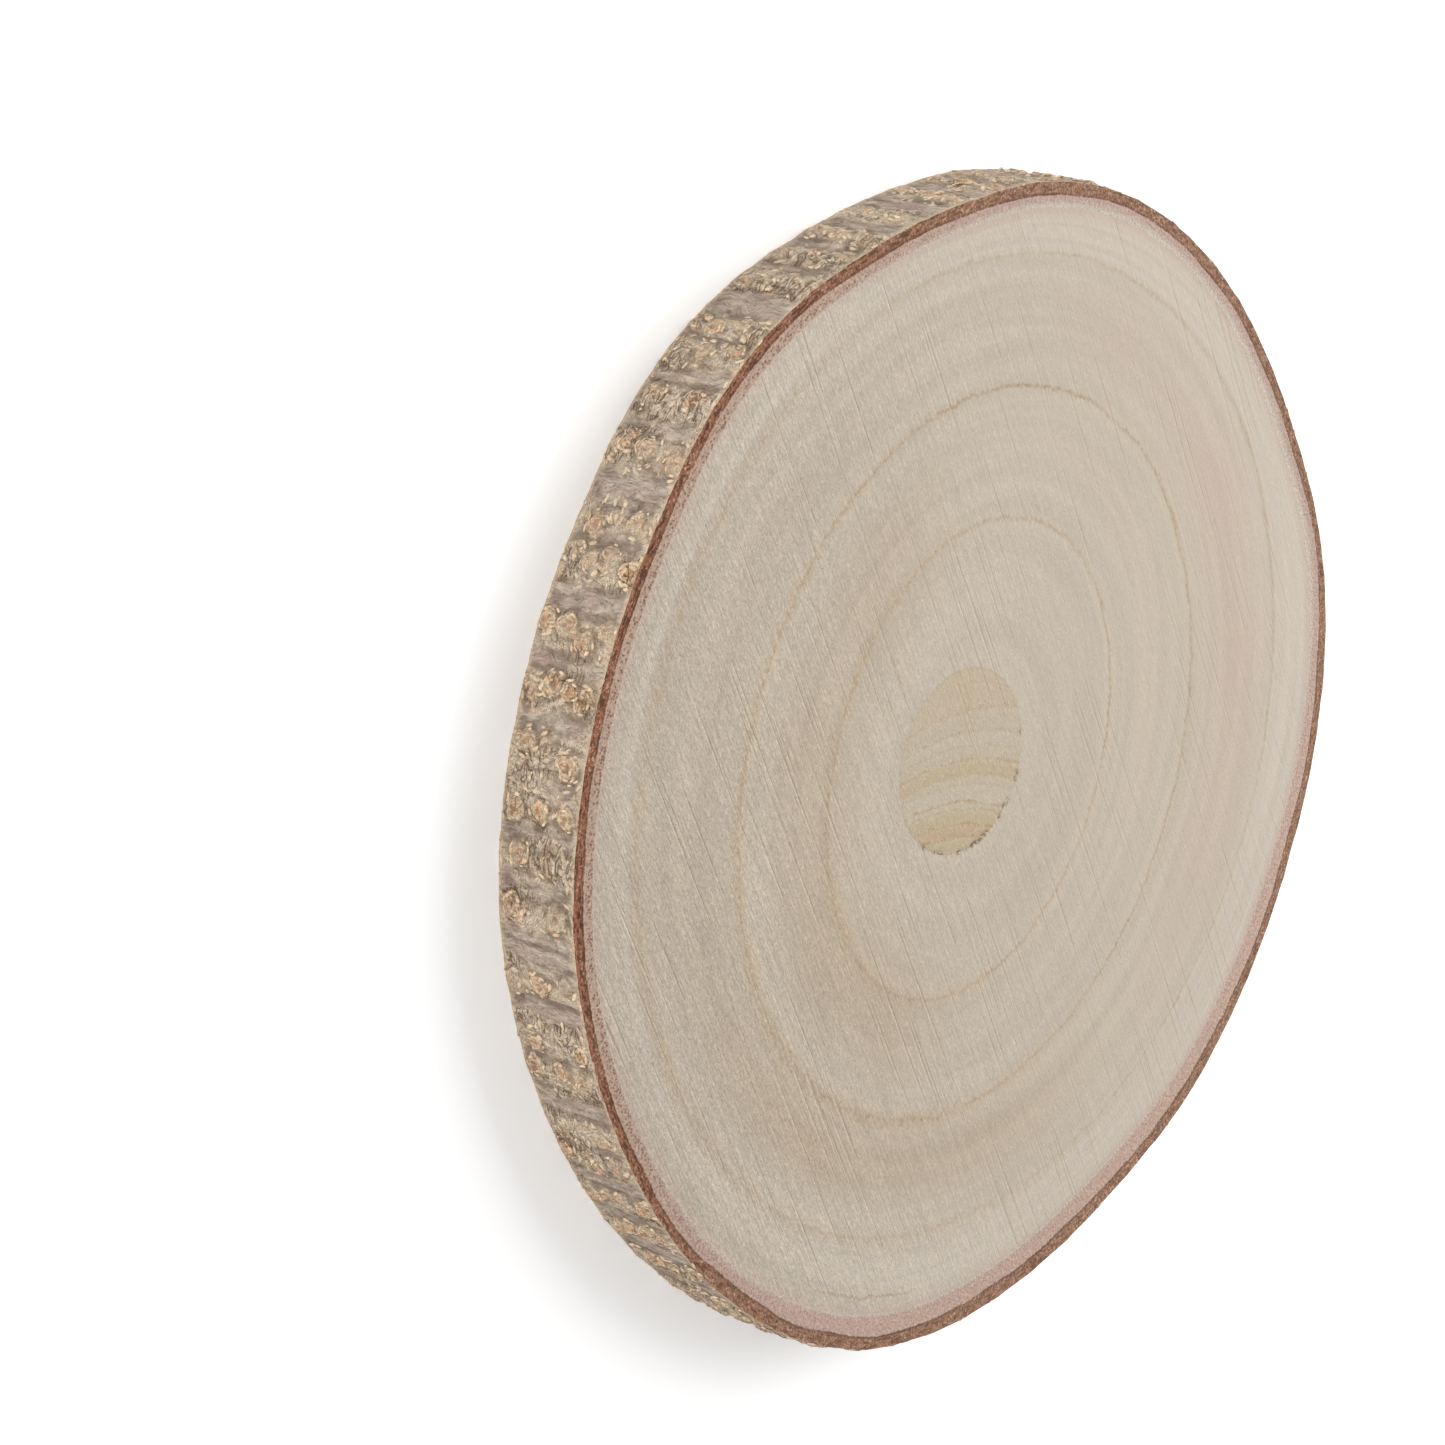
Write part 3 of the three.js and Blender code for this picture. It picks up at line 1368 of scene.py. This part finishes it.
@dataclass
class BarkRing:
    """The bark: a grey outside with lenticels, and two cut faces of brown cork and pink inner bark."""

    trunk: Trunk
    place: SlicePlace
    rule: LenticelRule
    steps_around: int = 1480
    steps_up: int = 40
    sharp_angle: float = 55.0
    fibres: LayeredNoise = LayeredNoise(BandNoise(11, 0.9, 6.0), BandNoise(12, 0.45, 3.5, 0.6))
    slits: BandNoise = BandNoise(13, 1.5, 9.0)
    lumps: LayeredNoise = LayeredNoise(BandNoise(14, 0.9, 1.0), BandNoise(15, 0.5, 0.6, 0.6))
    waves: BandNoise = BandNoise(16, 9.0, 7.0, 0.08)
    wear: BandNoise = BandNoise(17, 1.4, 2.0, 0.5)
    patches: BandNoise = BandNoise(18, 3.0, 4.0, 0.35)
    fibre_depth: float = 0.06
    slit_depth: float = 0.14
    slit_levels: tuple[float, float] = (0.45, 0.85)
    crumb_depth: float = 0.08
    flattening_reach: float = 1.6
    least_relief: float = 0.25
    edge_wear: float = 0.08
    wear_reach: float = 0.6
    lip_reach: tuple[float, float] = (0.1, 0.55)
    # Depth and reach of the painted shade in the rim's hollows.
    hollow_shade_depth: float = 0.09
    hollow_shade_reach: int = 4
    no_wart: float = 2.0
    wart_border: tuple[float, float] = (0.8, 1.1)
    wart_lengths: tuple[float, float] = (0.9, 1.2)
    wart_lobes: tuple[tuple[int, float], ...] = ((3, 0.1), (5, 0.07))
    wart_core: tuple[float, float] = (0.15, 0.55)
    wart_height: float = 0.95
    core_depth: float = 0.5
    wart_ring: float = 0.46
    faintest: float = 0.25
    smooth_flank: Swell = Swell(226, 0.6, 26)
    patch_levels: tuple[float, float] = (0.65, 0.85)
    scales_on_ridges: float = 0.2
    scales_on_lip: float = 0.15
    cork_rows: tuple[float, ...] = (0.14, 0.32, 0.5, 0.68, 0.86, 1.0)
    inner_rows: tuple[float, ...] = (1.3, 1.6, 1.85, 2.0)
    border: LayeredNoise = LayeredNoise(BandNoise(21, 9.0, 10.0), BandNoise(23, 2.5, 10.0, 0.3))
    border_wander: float = 0.14
    crumbs: LayeredNoise = LayeredNoise(BandNoise(31, 0.7, 0.6), BandNoise(33, 0.4, 0.4, 0.7))
    cut_roughness: float = 0.16
    cork_arch: float = 0.92
    inner_roughness: float = 0.25
    rim_margin: float = 2.0

    def relief(self, turns: np.ndarray, heights: np.ndarray) -> dict[str, np.ndarray]:
        """Work out the surface of the rim.

        Args:
            turns: the rim's steps around, as shares of a turn.
            heights: the rim's rows.

        Returns:
            Grids of rows up by steps around: rise in millimetres, and the marks for the finish.
        """
        turn, height = np.meshgrid(turns, heights)
        ridge, column, lift, tone = (np.zeros(turn.shape) for _ in range(4))
        wart = np.full(turn.shape, self.no_wart)
        bearing = np.full(turn.shape, math.pi / 2)
        draws = np.random.default_rng(self.rule.seed)
        for band in self.rule.grow(self.place.thickness):
            arc = self.trunk.arc(band.angle, turns * FULL_TURN)
            ridge = np.maximum(ridge, self.rule.ridge_rise * dome(2 * arc / self.rule.ridge_width))
            column = np.maximum(column, dome(arc / self.rule.ridge_width))
            for lenticel in band.lenticels:
                reach, direction = self._reach(lenticel, turns, heights, draws)
                shown = 1 - self.smooth_flank.at(np.array(lenticel.angle))
                tone = np.where(reach < wart, draws.uniform(self.faintest, 1.0) * shown, tone)
                bearing = np.where(reach < wart, direction, bearing)
                wart = np.minimum(wart, reach)
                lift = np.maximum(lift, lenticel.size * self._wart_profile(reach))
        from_cut = np.minimum(height, self.place.thickness - height)
        away = smooth_step(0.0, self.flattening_reach, from_cut)
        flattened = self.least_relief + (1 - self.least_relief) * away
        bare = smooth_step(*self.wart_border, wart)
        fibres = self.fibre_depth * self.fibres.at(turn, height)
        slits = self.slit_depth * smooth_step(*self.slit_levels, self.slits.at(turn, height))
        lumps = self.crumb_depth * self.lumps.at(turn, height) * np.maximum(column, 1 - bare)
        wear = self.edge_wear * (0.5 + self.wear.at(turn, height))
        rise = (ridge + self.rule.rise * lift) * flattened + 0.5 * self.rule.ridge_rise * (1 - flattened)
        rise += self.waves.at(turn, height)
        rise += flattened * (bare * (fibres - slits) + lumps)
        rise -= wear * (1 - smooth_step(0.0, self.wear_reach, from_cut))
        lip = 1 - smooth_step(*self.lip_reach, from_cut)
        patchy = smooth_step(*self.patch_levels, column + self.patches.at(turn, height))
        ringed = tone * (1 - bare) * (0.5 + 0.5 * np.cos(2 * math.pi * wart / self.wart_ring))
        scattered = np.maximum(self.scales_on_ridges * patchy, self.scales_on_lip * lip)
        return {
            "rise": rise,
            "wart": wart,
            "tone": tone,
            "column": column,
            # Painted shade: how far a point lies below the average of its neighbours.
            "hollow_shade": smooth_step(0.0, self.hollow_shade_depth, self._blur(rise, self.hollow_shade_reach) - rise),
            "lip": lip,
            "scaly": np.maximum(ringed, scattered),
            "curl_around": np.where(lip > 0.5, 1.0, -np.sin(bearing)),
            "curl_up": np.where(lip > 0.5, 0.0, np.cos(bearing)),
        }

    def _reach(
        self, lenticel: Lenticel, turns: np.ndarray, heights: np.ndarray, draws: np.random.Generator
    ) -> tuple[np.ndarray, np.ndarray]:
        """How far points lie from a lenticel's middle, where 1 is its uneven edge, and in which direction.

        Args:
            lenticel: where it stands.
            turns: the rim's steps around, as shares of a turn.
            heights: the rim's rows.
            draws: for its length along the trunk and its lobes.

        Returns:
            The distance and the direction on the rim's grid.
        """
        across = self.trunk.arc(lenticel.angle, turns * FULL_TURN)[None, :]
        along = (heights - lenticel.height)[:, None] / draws.uniform(*self.wart_lengths)
        bearing = np.arctan2(along, across)
        lobes = zip(self.wart_lobes, draws.uniform(0, 2 * math.pi, len(self.wart_lobes)))
        edge = sum((depth * np.cos(count * bearing + start) for (count, depth), start in lobes), start=1)
        return 2 * np.hypot(across, along) / (self.rule.width * lenticel.size * edge), bearing

    def _wart_profile(self, reach: np.ndarray) -> np.ndarray:
        """Height of a lenticel: a flat-topped ring with a sunken core.

        Args:
            reach: how far points lie from its middle, where 1 is its edge.

        Returns:
            The height, as a share of its rise.
        """
        plateau = 1 - smooth_step(self.wart_core[1], 1.0, reach)
        sunken = 1 - smooth_step(*self.wart_core, reach)
        return plateau * (self.wart_height - self.core_depth * sunken)

    @staticmethod
    def _blur(grid: np.ndarray, reach: int) -> np.ndarray:
        """Average a rim grid over its neighbours, closed round the trunk.

        Args:
            grid: rows up by steps around.
            reach: how many neighbours count each way.

        Returns:
            The averages.
        """
        width = 2 * reach + 1
        around = sum(np.roll(grid, step, axis=1) for step in range(-reach, reach + 1)) / width
        padded = np.pad(around, ((reach, reach), (0, 0)), mode="edge")
        return sum(padded[step:step + len(grid)] for step in range(width)) / width

    def build(self, outside: bpy.types.Material, cut: bpy.types.Material) -> bpy.types.Object:
        """Make the bark's mesh.

        Args:
            outside: finish of the rim.
            cut: finish of the cut faces.

        Returns:
            The bark as one closed piece.
        """
        turns = turns_around(self.steps_around)
        angle = turns * FULL_TURN
        heights = np.linspace(0, self.place.thickness, self.steps_up + 1)
        marks = self.relief(turns, heights)
        radius = self.trunk.outline(angle) - self.rule.ridge_rise + marks.pop("rise")
        sheets = MeshSheets()
        rim = sheets.add_points(ring_points(radius, angle, heights[:, None]))
        sheets.add_quads(rim)
        for name, values in marks.items():
            sheets.mark(name, rim, values)
        top = self._cut_face(sheets, rim[-1], radius[-1], turns, Side.TOP)
        bottom = self._cut_face(sheets, rim[0], radius[0], turns, Side.BOTTOM)
        sheets.add_quads(np.stack([top, bottom]), slot=1)
        return sheets.piece("bark_ring", self.place, (outside, cut), self.sharp_angle)

    def _cut_face(
        self, sheets: MeshSheets, edge: np.ndarray, edge_radius: np.ndarray, turns: np.ndarray, side: Side
    ) -> np.ndarray:
        """Span the bark's cut face from the rim's edge to the cambium.

        Args:
            sheets: the mesh so far.
            edge: point numbers of the rim's edge.
            edge_radius: radius of each of them.
            turns: the steps around, as shares of a turn.
            side: which of the two faces.

        Returns:
            Point numbers along the cambium.
        """
        angle = turns * FULL_TURN
        outline = self.trunk.outline(angle)
        uneven = self.border_wander * self.border.at(turns, np.zeros_like(turns), side)
        border = outline - self.trunk.cork(angle) * (1 + uneven)
        layers = np.array(self.cork_rows + self.inner_rows)[:, None]
        in_cork = edge_radius + (border - edge_radius) * layers
        in_inner = border + (self.trunk.cambium(angle) - border) * (layers - 1)
        radius = np.where(layers <= 1, in_cork, in_inner)
        depth = outline + self.rim_margin - radius
        crumbs = self.crumbs.at(np.broadcast_to(turns, radius.shape), depth, side)
        cork_share = np.sin(math.pi * np.clip(layers, 0, 1) * self.cork_arch)
        share = np.where(layers <= 1, cork_share, self.inner_roughness * (2 - layers))
        sink = self.cut_roughness * np.abs(crumbs) * np.clip(share, 0, 1)
        numbers = sheets.add_points(ring_points(radius, angle, self.place.level(side, sink)))
        sheets.mark("layer", numbers, layers)
        rows = np.concatenate([edge[None, :], numbers])
        sheets.add_quads(rows, slot=1, flip=side is Side.BOTTOM)
        return numbers[-1]


class ScaleTree(Group):
    """Geometry Nodes that scatter small lens-shaped scales over a surface's rough places."""

    lengths: tuple[float, float] = (0.6, 1.4)
    widths: tuple[float, float] = (0.3, 0.55)
    heights: tuple[float, float] = (0.7, 1.3)
    past_wart: float = 1.2

    def __init__(self, name: str) -> None:
        """Build the tree: points by share of the surface's scaly mark, then one scale on each.

        Args:
            name: of the tree.
        """
        inputs = {
            "Surface": "Geometry",
            "Spacing": "Float",
            "Size": "Float",
            "Flatness": "Float",
            "Tilt": "Float",
            "Seed": "Int",
            "Finish": "Material",
        }
        super().__init__(name, "GeometryNodeTree", inputs, {"Scales": "Geometry"})
        spread = self._spread()
        tint = {"Geometry": Value(self, spread["Points"]), "Name": "tint", "Value": self._draw(0.0, 1.0, 1)}
        tinted = self.value("GeometryNodeStoreNamedAttribute", tint, data_type="FLOAT", domain="POINT")
        ball = self.value("GeometryNodeMeshIcoSphere", {"Radius": 1.0, "Subdivisions": 1})
        feeds = {
            "Points": tinted,
            "Instance": self.value("GeometryNodeSetShadeSmooth", {0: ball}),
            "Rotation": self._turned(Value(self, spread["Rotation"]), Value(self, spread["Normal"])),
            "Scale": self._sized(),
        }
        placed = self.value("GeometryNodeInstanceOnPoints", feeds)
        real = self.value("GeometryNodeRealizeInstances", {"Geometry": placed})
        finish = {"Geometry": real, "Material": self.given("Finish")}
        self.put_out("Scales", self.value("GeometryNodeSetMaterial", finish))

    def _named(self, name: str) -> Value:
        """A number that the surface holds for its points."""
        return self.value("GeometryNodeInputNamedAttribute", {"Name": name}, "Attribute", data_type="FLOAT")

    def _draw(self, low: float, high: float, lot: int) -> Value:
        """A repeatable draw for each scale.

        Args:
            low: the least that it can be.
            high: the most that it can be.
            lot: number of the draw, so that no two agree.

        Returns:
            The drawn number, from the node's sockets for plain numbers.
        """
        feeds = {2: low, 3: high, "Seed": self.given("Seed") + float(lot)}
        return self.value("FunctionNodeRandomValue", feeds, 1, data_type="FLOAT")

    def _spread(self) -> bpy.types.bpy_prop_collection:
        """Spread points over the rim, which is the surface's first finish.

        Returns:
            The sockets for the points, the turn that stands them on the rim and its outward direction.
        """
        spacing = self.given("Spacing")
        rim = self.math("LESS_THAN", self.value("GeometryNodeInputMaterialIndex", {}), 0.5)
        feeds = {
            "Mesh": self.given("Surface"),
            "Density": self._named("scaly") / (spacing * spacing) * rim,
            "Seed": self.given("Seed"),
        }
        return self.add("GeometryNodeDistributePointsOnFaces", feeds, distribute_method="RANDOM").outputs

    def _turned(self, upright: Value, outward: Value) -> Value:
        """The turn of each scale: laid along the curl round its lenticel, then tilted a little.

        Args:
            upright: the turn that stands a scale on the surface.
            outward: the surface's own direction.

        Returns:
            The turn.
        """
        sideways = self.vector("CROSS_PRODUCT", (0.0, 0.0, 1.0), outward).scaled(self._named("curl_around"))
        along = self.vector("ADD", sideways, self.join(0.0, 0.0, self._named("curl_up")))
        feeds = {"Rotation": upright, "Vector": along}
        laid = self.value("FunctionNodeAlignRotationToVector", feeds, axis="X", pivot_axis="Z")
        leans = [self._draw(-1.0, 1.0, lot) * self.given("Tilt") for lot in (2, 3, 4)]
        lean = self.value("FunctionNodeEulerToRotation", {0: self.join(*leans)})
        return self.value("FunctionNodeRotateRotation", {0: laid, 1: lean}, rotation_space="LOCAL")

    def _sized(self) -> Value:
        """Choose each scale's size, smaller on the lenticels.

        Returns:
            Its length, width and height.
        """
        larger = self.math("MINIMUM", self._named("wart"), self.past_wart) * 0.5 + 0.5
        length = self.given("Size") * self._draw(*self.lengths, 5) * larger
        width = length * self._draw(*self.widths, 6)
        height = length * self.given("Flatness") * self._draw(*self.heights, 7)
        return self.join(length, width, height)


@dataclass
class BarkScales:
    """Loose scales of cork that cover the lenticels, the ridges and the bark's cut edges."""

    place: SlicePlace
    spacing: float = 0.56
    size: float = 0.56
    flatness: float = 0.15
    tilt: float = 15.0
    seed: int = 5

    def build(self, bark: bpy.types.Object, finish: bpy.types.Material) -> bpy.types.Object:
        """Scatter the scales and turn them into a plain mesh.

        Args:
            bark: the piece that they sit on.
            finish: of the scales.

        Returns:
            All the scales as one piece.
        """
        tree = ScaleTree("bark_scales").tree
        values = {
            "Spacing": self.spacing * MM,
            "Size": self.size * MM,
            "Flatness": self.flatness,
            "Tilt": math.radians(self.tilt),
            "Seed": self.seed,
            "Finish": finish,
        }
        piece = link_new("bark_scales", bark.data)
        scatter = piece.modifiers.new("scatter", "NODES")
        scatter.node_group = tree
        for item in tree.interface.items_tree:
            if item.name in values:
                scatter[item.identifier] = values[item.name]
        depsgraph = bpy.context.evaluated_depsgraph_get()
        mesh = bpy.data.meshes.new_from_object(piece.evaluated_get(depsgraph), depsgraph=depsgraph)
        piece.modifiers.remove(scatter)
        mesh.name = piece.name
        points = np.empty(len(mesh.vertices) * 3)
        mesh.vertices.foreach_get("co", points)
        held = np.clip(points.reshape(-1, 3), self.place.low * MM, self.place.high * MM)
        mesh.vertices.foreach_set("co", held.ravel())
        mesh.update()
        piece.data = mesh
        return piece


@dataclass(frozen=True)
class PlugSeam:
    """The seam round the plug, chipped mostly on the side towards +X and +Y."""

    noise: BandNoise = BandNoise(41, 6.0, 5.0)
    worst_angle: float = 40.0
    worse: float = 0.35
    chip_levels: tuple[float, float] = (0.42, 1.05)
    least: float = 0.1

    def chips(self, turns: np.ndarray, side: Side) -> np.ndarray:
        """How far the seam is chipped.

        Args:
            turns: directions from the plug's middle, as shares of a turn.
            side: which of the two cut faces.

        Returns:
            A share from 0 to 1 for each direction.
        """
        noise = self.noise.at(turns, np.zeros_like(turns), side)
        worse = self.worse * np.cos(2 * math.pi * turns - math.radians(self.worst_angle))
        return self.least + (1 - self.least) * smooth_step(*self.chip_levels, noise + worse)


@dataclass(frozen=True)
class GrowthRing:
    """One year's line in the wood: an ellipse whose centre is given from the growth centre."""

    centre: tuple[float, float]
    half_x: float
    half_y: float

    def away(self, x: np.ndarray, y: np.ndarray) -> np.ndarray:
        """Distance outwards from the ring, below zero inside it."""
        level = np.hypot((x - self.centre[0]) / self.half_x, (y - self.centre[1]) / self.half_y)
        return (level - 1) * (self.half_x + self.half_y) / 2


@dataclass
class WoodDisc:
    """The wood: a disc with sawn faces, growth rings and the plug's hole."""

    trunk: Trunk
    place: SlicePlace
    seam: PlugSeam
    rings: tuple[GrowthRing, ...] = (
        GrowthRing((-1.4, -2.6), 32.8, 28.9),
        GrowthRing((-1.9, -2.0), 49.8, 46.8),
        GrowthRing((-2.5, -1.6), 66.5, 66.4),
    )
    steps_around: int = 640
    steps_out: int = 68
    crowding: float = 0.9
    seam_rows: tuple[float, ...] = (0.003, 0.007)
    saw_waves: tuple[float, ...] = (2.3, 3.1, 5.2)
    saw_depth: float = 0.02
    seam_width: float = 0.5
    seam_depth: float = 0.22
    sharp_angle: float = 40.0

    def growth(self, x: np.ndarray, y: np.ndarray) -> np.ndarray:
        """Age of the wood: 0 at the plug's middle, then 1 more at each ring and at the cambium.

        Args:
            x: of each point.
            y: of each point.

        Returns:
            The age in years.
        """
        middle = self.place.plug_offset
        borders = [np.hypot(x - middle[0], y - middle[1])]
        borders += [ring.away(x, y) for ring in self.rings]
        borders.append(-self.inwards(x, y))
        age = np.zeros_like(x)
        for year, (inner, outer) in enumerate(zip(borders, borders[1:])):
            share = np.clip(inner / np.maximum(inner - outer, 1e-6), 0, 1)
            age = np.where(inner >= 0, year + share, age)
        return age

    def inwards(self, x: np.ndarray, y: np.ndarray) -> np.ndarray:
        """Distance inwards from the cambium."""
        return self.trunk.cambium(np.degrees(np.arctan2(y, x))) - np.hypot(x, y)

    def saw_relief(self, x: np.ndarray, y: np.ndarray) -> np.ndarray:
        """Depth of the saw's waves.

        Args:
            x: of each point.
            y: of each point.

        Returns:
            The depth, from 0 at the crests.
        """
        across = y * math.cos(SAW.angle) - x * math.sin(SAW.angle)
        waves = sum(0.5 + 0.5 * np.sin(2 * math.pi * across / length) for length in self.saw_waves)
        return self.saw_depth * waves / len(self.saw_waves)

    def build(self, finish: bpy.types.Material) -> bpy.types.Object:
        """Make the disc's mesh.

        Args:
            finish: of the wood.

        Returns:
            The disc as one closed piece.
        """
        turns = turns_around(self.steps_around)
        angle = turns * FULL_TURN
        direction = np.stack([np.cos(np.radians(angle)), np.sin(np.radians(angle))])
        middle = self.place.plug_offset[:, None]
        inner = middle + self.place.plug_radius * direction
        outer = self.trunk.cambium(angle) * direction
        share = np.linspace(0, 1, self.steps_out + 1) ** self.crowding
        share = np.sort(np.append(share, self.seam_rows))[:, None]
        x = inner[0] + (outer[0] - inner[0]) * share
        y = inner[1] + (outer[1] - inner[1]) * share
        from_seam = np.hypot(x - middle[0], y - middle[1]) - self.place.plug_radius
        sheets = MeshSheets()
        faces = []
        for side in Side:
            seam = (1 - smooth_step(0.0, self.seam_width, from_seam)) * self.seam.chips(turns, side)
            sink = np.maximum(self.saw_relief(x, y), self.seam_depth * seam)
            numbers = sheets.add_points(np.stack([x, y, self.place.level(side, sink)], axis=-1))
            sheets.add_quads(numbers, flip=side is Side.TOP)
            sheets.mark("growth", numbers, self.growth(x, y))
            sheets.mark("seam", numbers, seam)
            sheets.mark("cambium", numbers, self.inwards(x, y))
            for index, ring in enumerate(self.rings, start=1):
                sheets.mark(f"ring_{index}", numbers, ring.away(x, y))
            faces.append(numbers)
        top, bottom = faces
        sheets.add_quads(np.stack([bottom[-1], top[-1]]))
        sheets.add_quads(np.stack([top[0], bottom[0]]))
        return sheets.piece("wood_disc", self.place, (finish,), self.sharp_angle)


@dataclass
class PithPlug:
    """The round plug in the wood, with a worn and chipped edge."""

    place: SlicePlace
    seam: PlugSeam
    steps_around: int = 192
    rings: tuple[float, ...] = (0.08, 0.2, 0.35, 0.5, 0.65, 0.78, 0.88, 0.94, 0.97, 0.99, 1.0)
    edge_start: float = 0.95
    edge_depth: float = 0.2
    sharp_angle: float = 40.0

    def build(self, finish: bpy.types.Material) -> bpy.types.Object:
        """Make the plug's mesh.

        Args:
            finish: of the plug.

        Returns:
            The plug as one closed piece.
        """
        turns = turns_around(self.steps_around)
        share = np.array(self.rings)[:, None]
        radius = self.place.plug_radius * share * np.ones_like(turns)
        centre = self.place.plug_offset
        sheets = MeshSheets()
        rims = []
        for side in Side:
            worn = smooth_step(self.edge_start, 1.0, share) * self.seam.chips(turns, side)
            height = self.place.level(side, self.edge_depth * worn)
            points = ring_points(radius, turns * FULL_TURN, height)
            points[..., :2] += centre
            numbers = sheets.add_points(points)
            middle = sheets.add_points(np.array([[[*centre, self.place.level(side, 0.0)]]]))[0, 0]
            sheets.add_quads(numbers, flip=side is Side.TOP)
            sheets.add_fan(numbers[0], middle, flip=side is Side.BOTTOM)
            sheets.mark("seam", numbers, worn)
            rims.append(numbers[-1])
        top, bottom = rims
        sheets.add_quads(np.stack([bottom, top]))
        return sheets.piece("pith_plug", self.place, (finish,), self.sharp_angle)


@dataclass(frozen=True)
class Lamp:
    """A soft square lamp: where it is from the growth centre's upper end, its side, and its watts."""

    name: str
    offset: tuple[float, float, float]
    size: float
    power: float


@dataclass
class Studio:
    """Pale floor, soft light, and the camera that looks down on the slice as the picture does."""

    place: SlicePlace
    eye: tuple[float, float, float] = (0.0, -482.9, 357.8)
    aim: tuple[float, float, float] = (2.3, -54.6, 0.0)
    roll: float = 105.18
    sensor: float = 36.0
    lens: float = 112.5
    sight: float = 20000.0
    floor_reach: float = 3000.0
    floor_colour: Colour = (0.93, 0.93, 0.93)
    floor_roughness: float = 0.9
    floor_glow: float = 0.25
    sky_strength: float = 0.5
    lamps: tuple[Lamp, ...] = (
        Lamp("key", (-320, 350, 430), 600, 3.9),
        Lamp("fill", (100, -750, 120), 600, 3.5),
    )

    def from_face(self, offset: Sequence[float]) -> Vector:
        """A point given from the growth centre on the slice's upper face, in metres."""
        return Vector((*(self.place.growth_centre + offset[:2]), self.place.thickness + offset[2])) * MM

    def point(self, item: bpy.types.Object, eye: Sequence[float], aim: Sequence[float], roll: float) -> None:
        """Set up a camera or lamp.

        Args:
            item: the camera or lamp.
            eye: where it is, from the upper face.
            aim: what it faces, from the upper face.
            roll: how far it is turned about its line of sight.
        """
        item.location = self.from_face(eye)
        level = (self.from_face(aim) - item.location).to_track_quat("-Z", "Y")
        item.rotation_mode = "QUATERNION"
        item.rotation_quaternion = level @ Quaternion((0, 0, 1), math.radians(roll))

    def set_camera(self) -> None:
        """Place the camera, turned about its line of sight like the picture."""
        data = bpy.data.cameras.new("camera")
        data.sensor_width = self.sensor
        data.lens = self.lens
        data.clip_end = self.sight * MM
        camera = link_new("camera", data)
        self.point(camera, self.eye, self.aim, self.roll)
        bpy.context.scene.camera = camera

    def lay_floor(self) -> None:
        """Lay the pale floor under the slice."""
        reach = self.floor_reach * MM
        corners = [(-reach, -reach, 0), (reach, -reach, 0), (reach, reach, 0), (-reach, reach, 0)]
        mesh = bpy.data.meshes.new("floor")
        mesh.from_pydata(corners, [], [(0, 1, 2, 3)])
        material = Surface("floor_white").dress(
            base_color=self.floor_colour,
            roughness=self.floor_roughness,
            emission_color=self.floor_colour,
            emission_strength=self.floor_glow,
        )
        mesh.materials.append(material)
        floor = link_new("floor", mesh)

    def light(self) -> None:
        """Light the scene softly, a little more from the picture's top and from the camera's side."""
        world = bpy.data.worlds.new("soft_sky")
        world.use_nodes = True
        sky = world.node_tree.nodes["Background"]
        sky.inputs["Color"].default_value = (1, 1, 1, 1)
        sky.inputs["Strength"].default_value = self.sky_strength
        bpy.context.scene.world = world
        bpy.context.scene.view_settings.view_transform = "Standard"
        for lamp in self.lamps:
            data = bpy.data.lights.new(lamp.name, "AREA")
            data.size = lamp.size * MM
            data.energy = lamp.power
            self.point(link_new(lamp.name, data), lamp.offset, (0, 0, 0), 0.0)

    def build(self) -> None:
        """Set up camera, floor and light."""
        self.set_camera()
        self.lay_floor()
        self.light()


def main() -> None:
    """Build the slice's pieces in order and set up the studio."""
    logging.basicConfig(level=logging.INFO, format="%(name)s %(message)s")
    trunk = Trunk()
    place = SlicePlace.from_frame()
    seam = PlugSeam()
    Studio(place).build()
    effects = Effects()
    bark = BarkRing(trunk, place, LenticelRule()).build(
        BarkSurfaceFinish().material(effects), BarkCutFinish().material(effects)
    )
    hand_over(bark, "bark")
    scales = BarkScales(place).build(bark, BarkScaleFinish().material(effects))
    hand_over(scales, "bark")
    wood = WoodDisc(trunk, place, seam).build(SawnWoodFinish().material(effects))
    hand_over(wood, "wood")
    plug = PithPlug(place, seam).build(PlugFinish().material(effects, place))
    hand_over(plug, "plug")


if __name__ == "__main__":
    main()
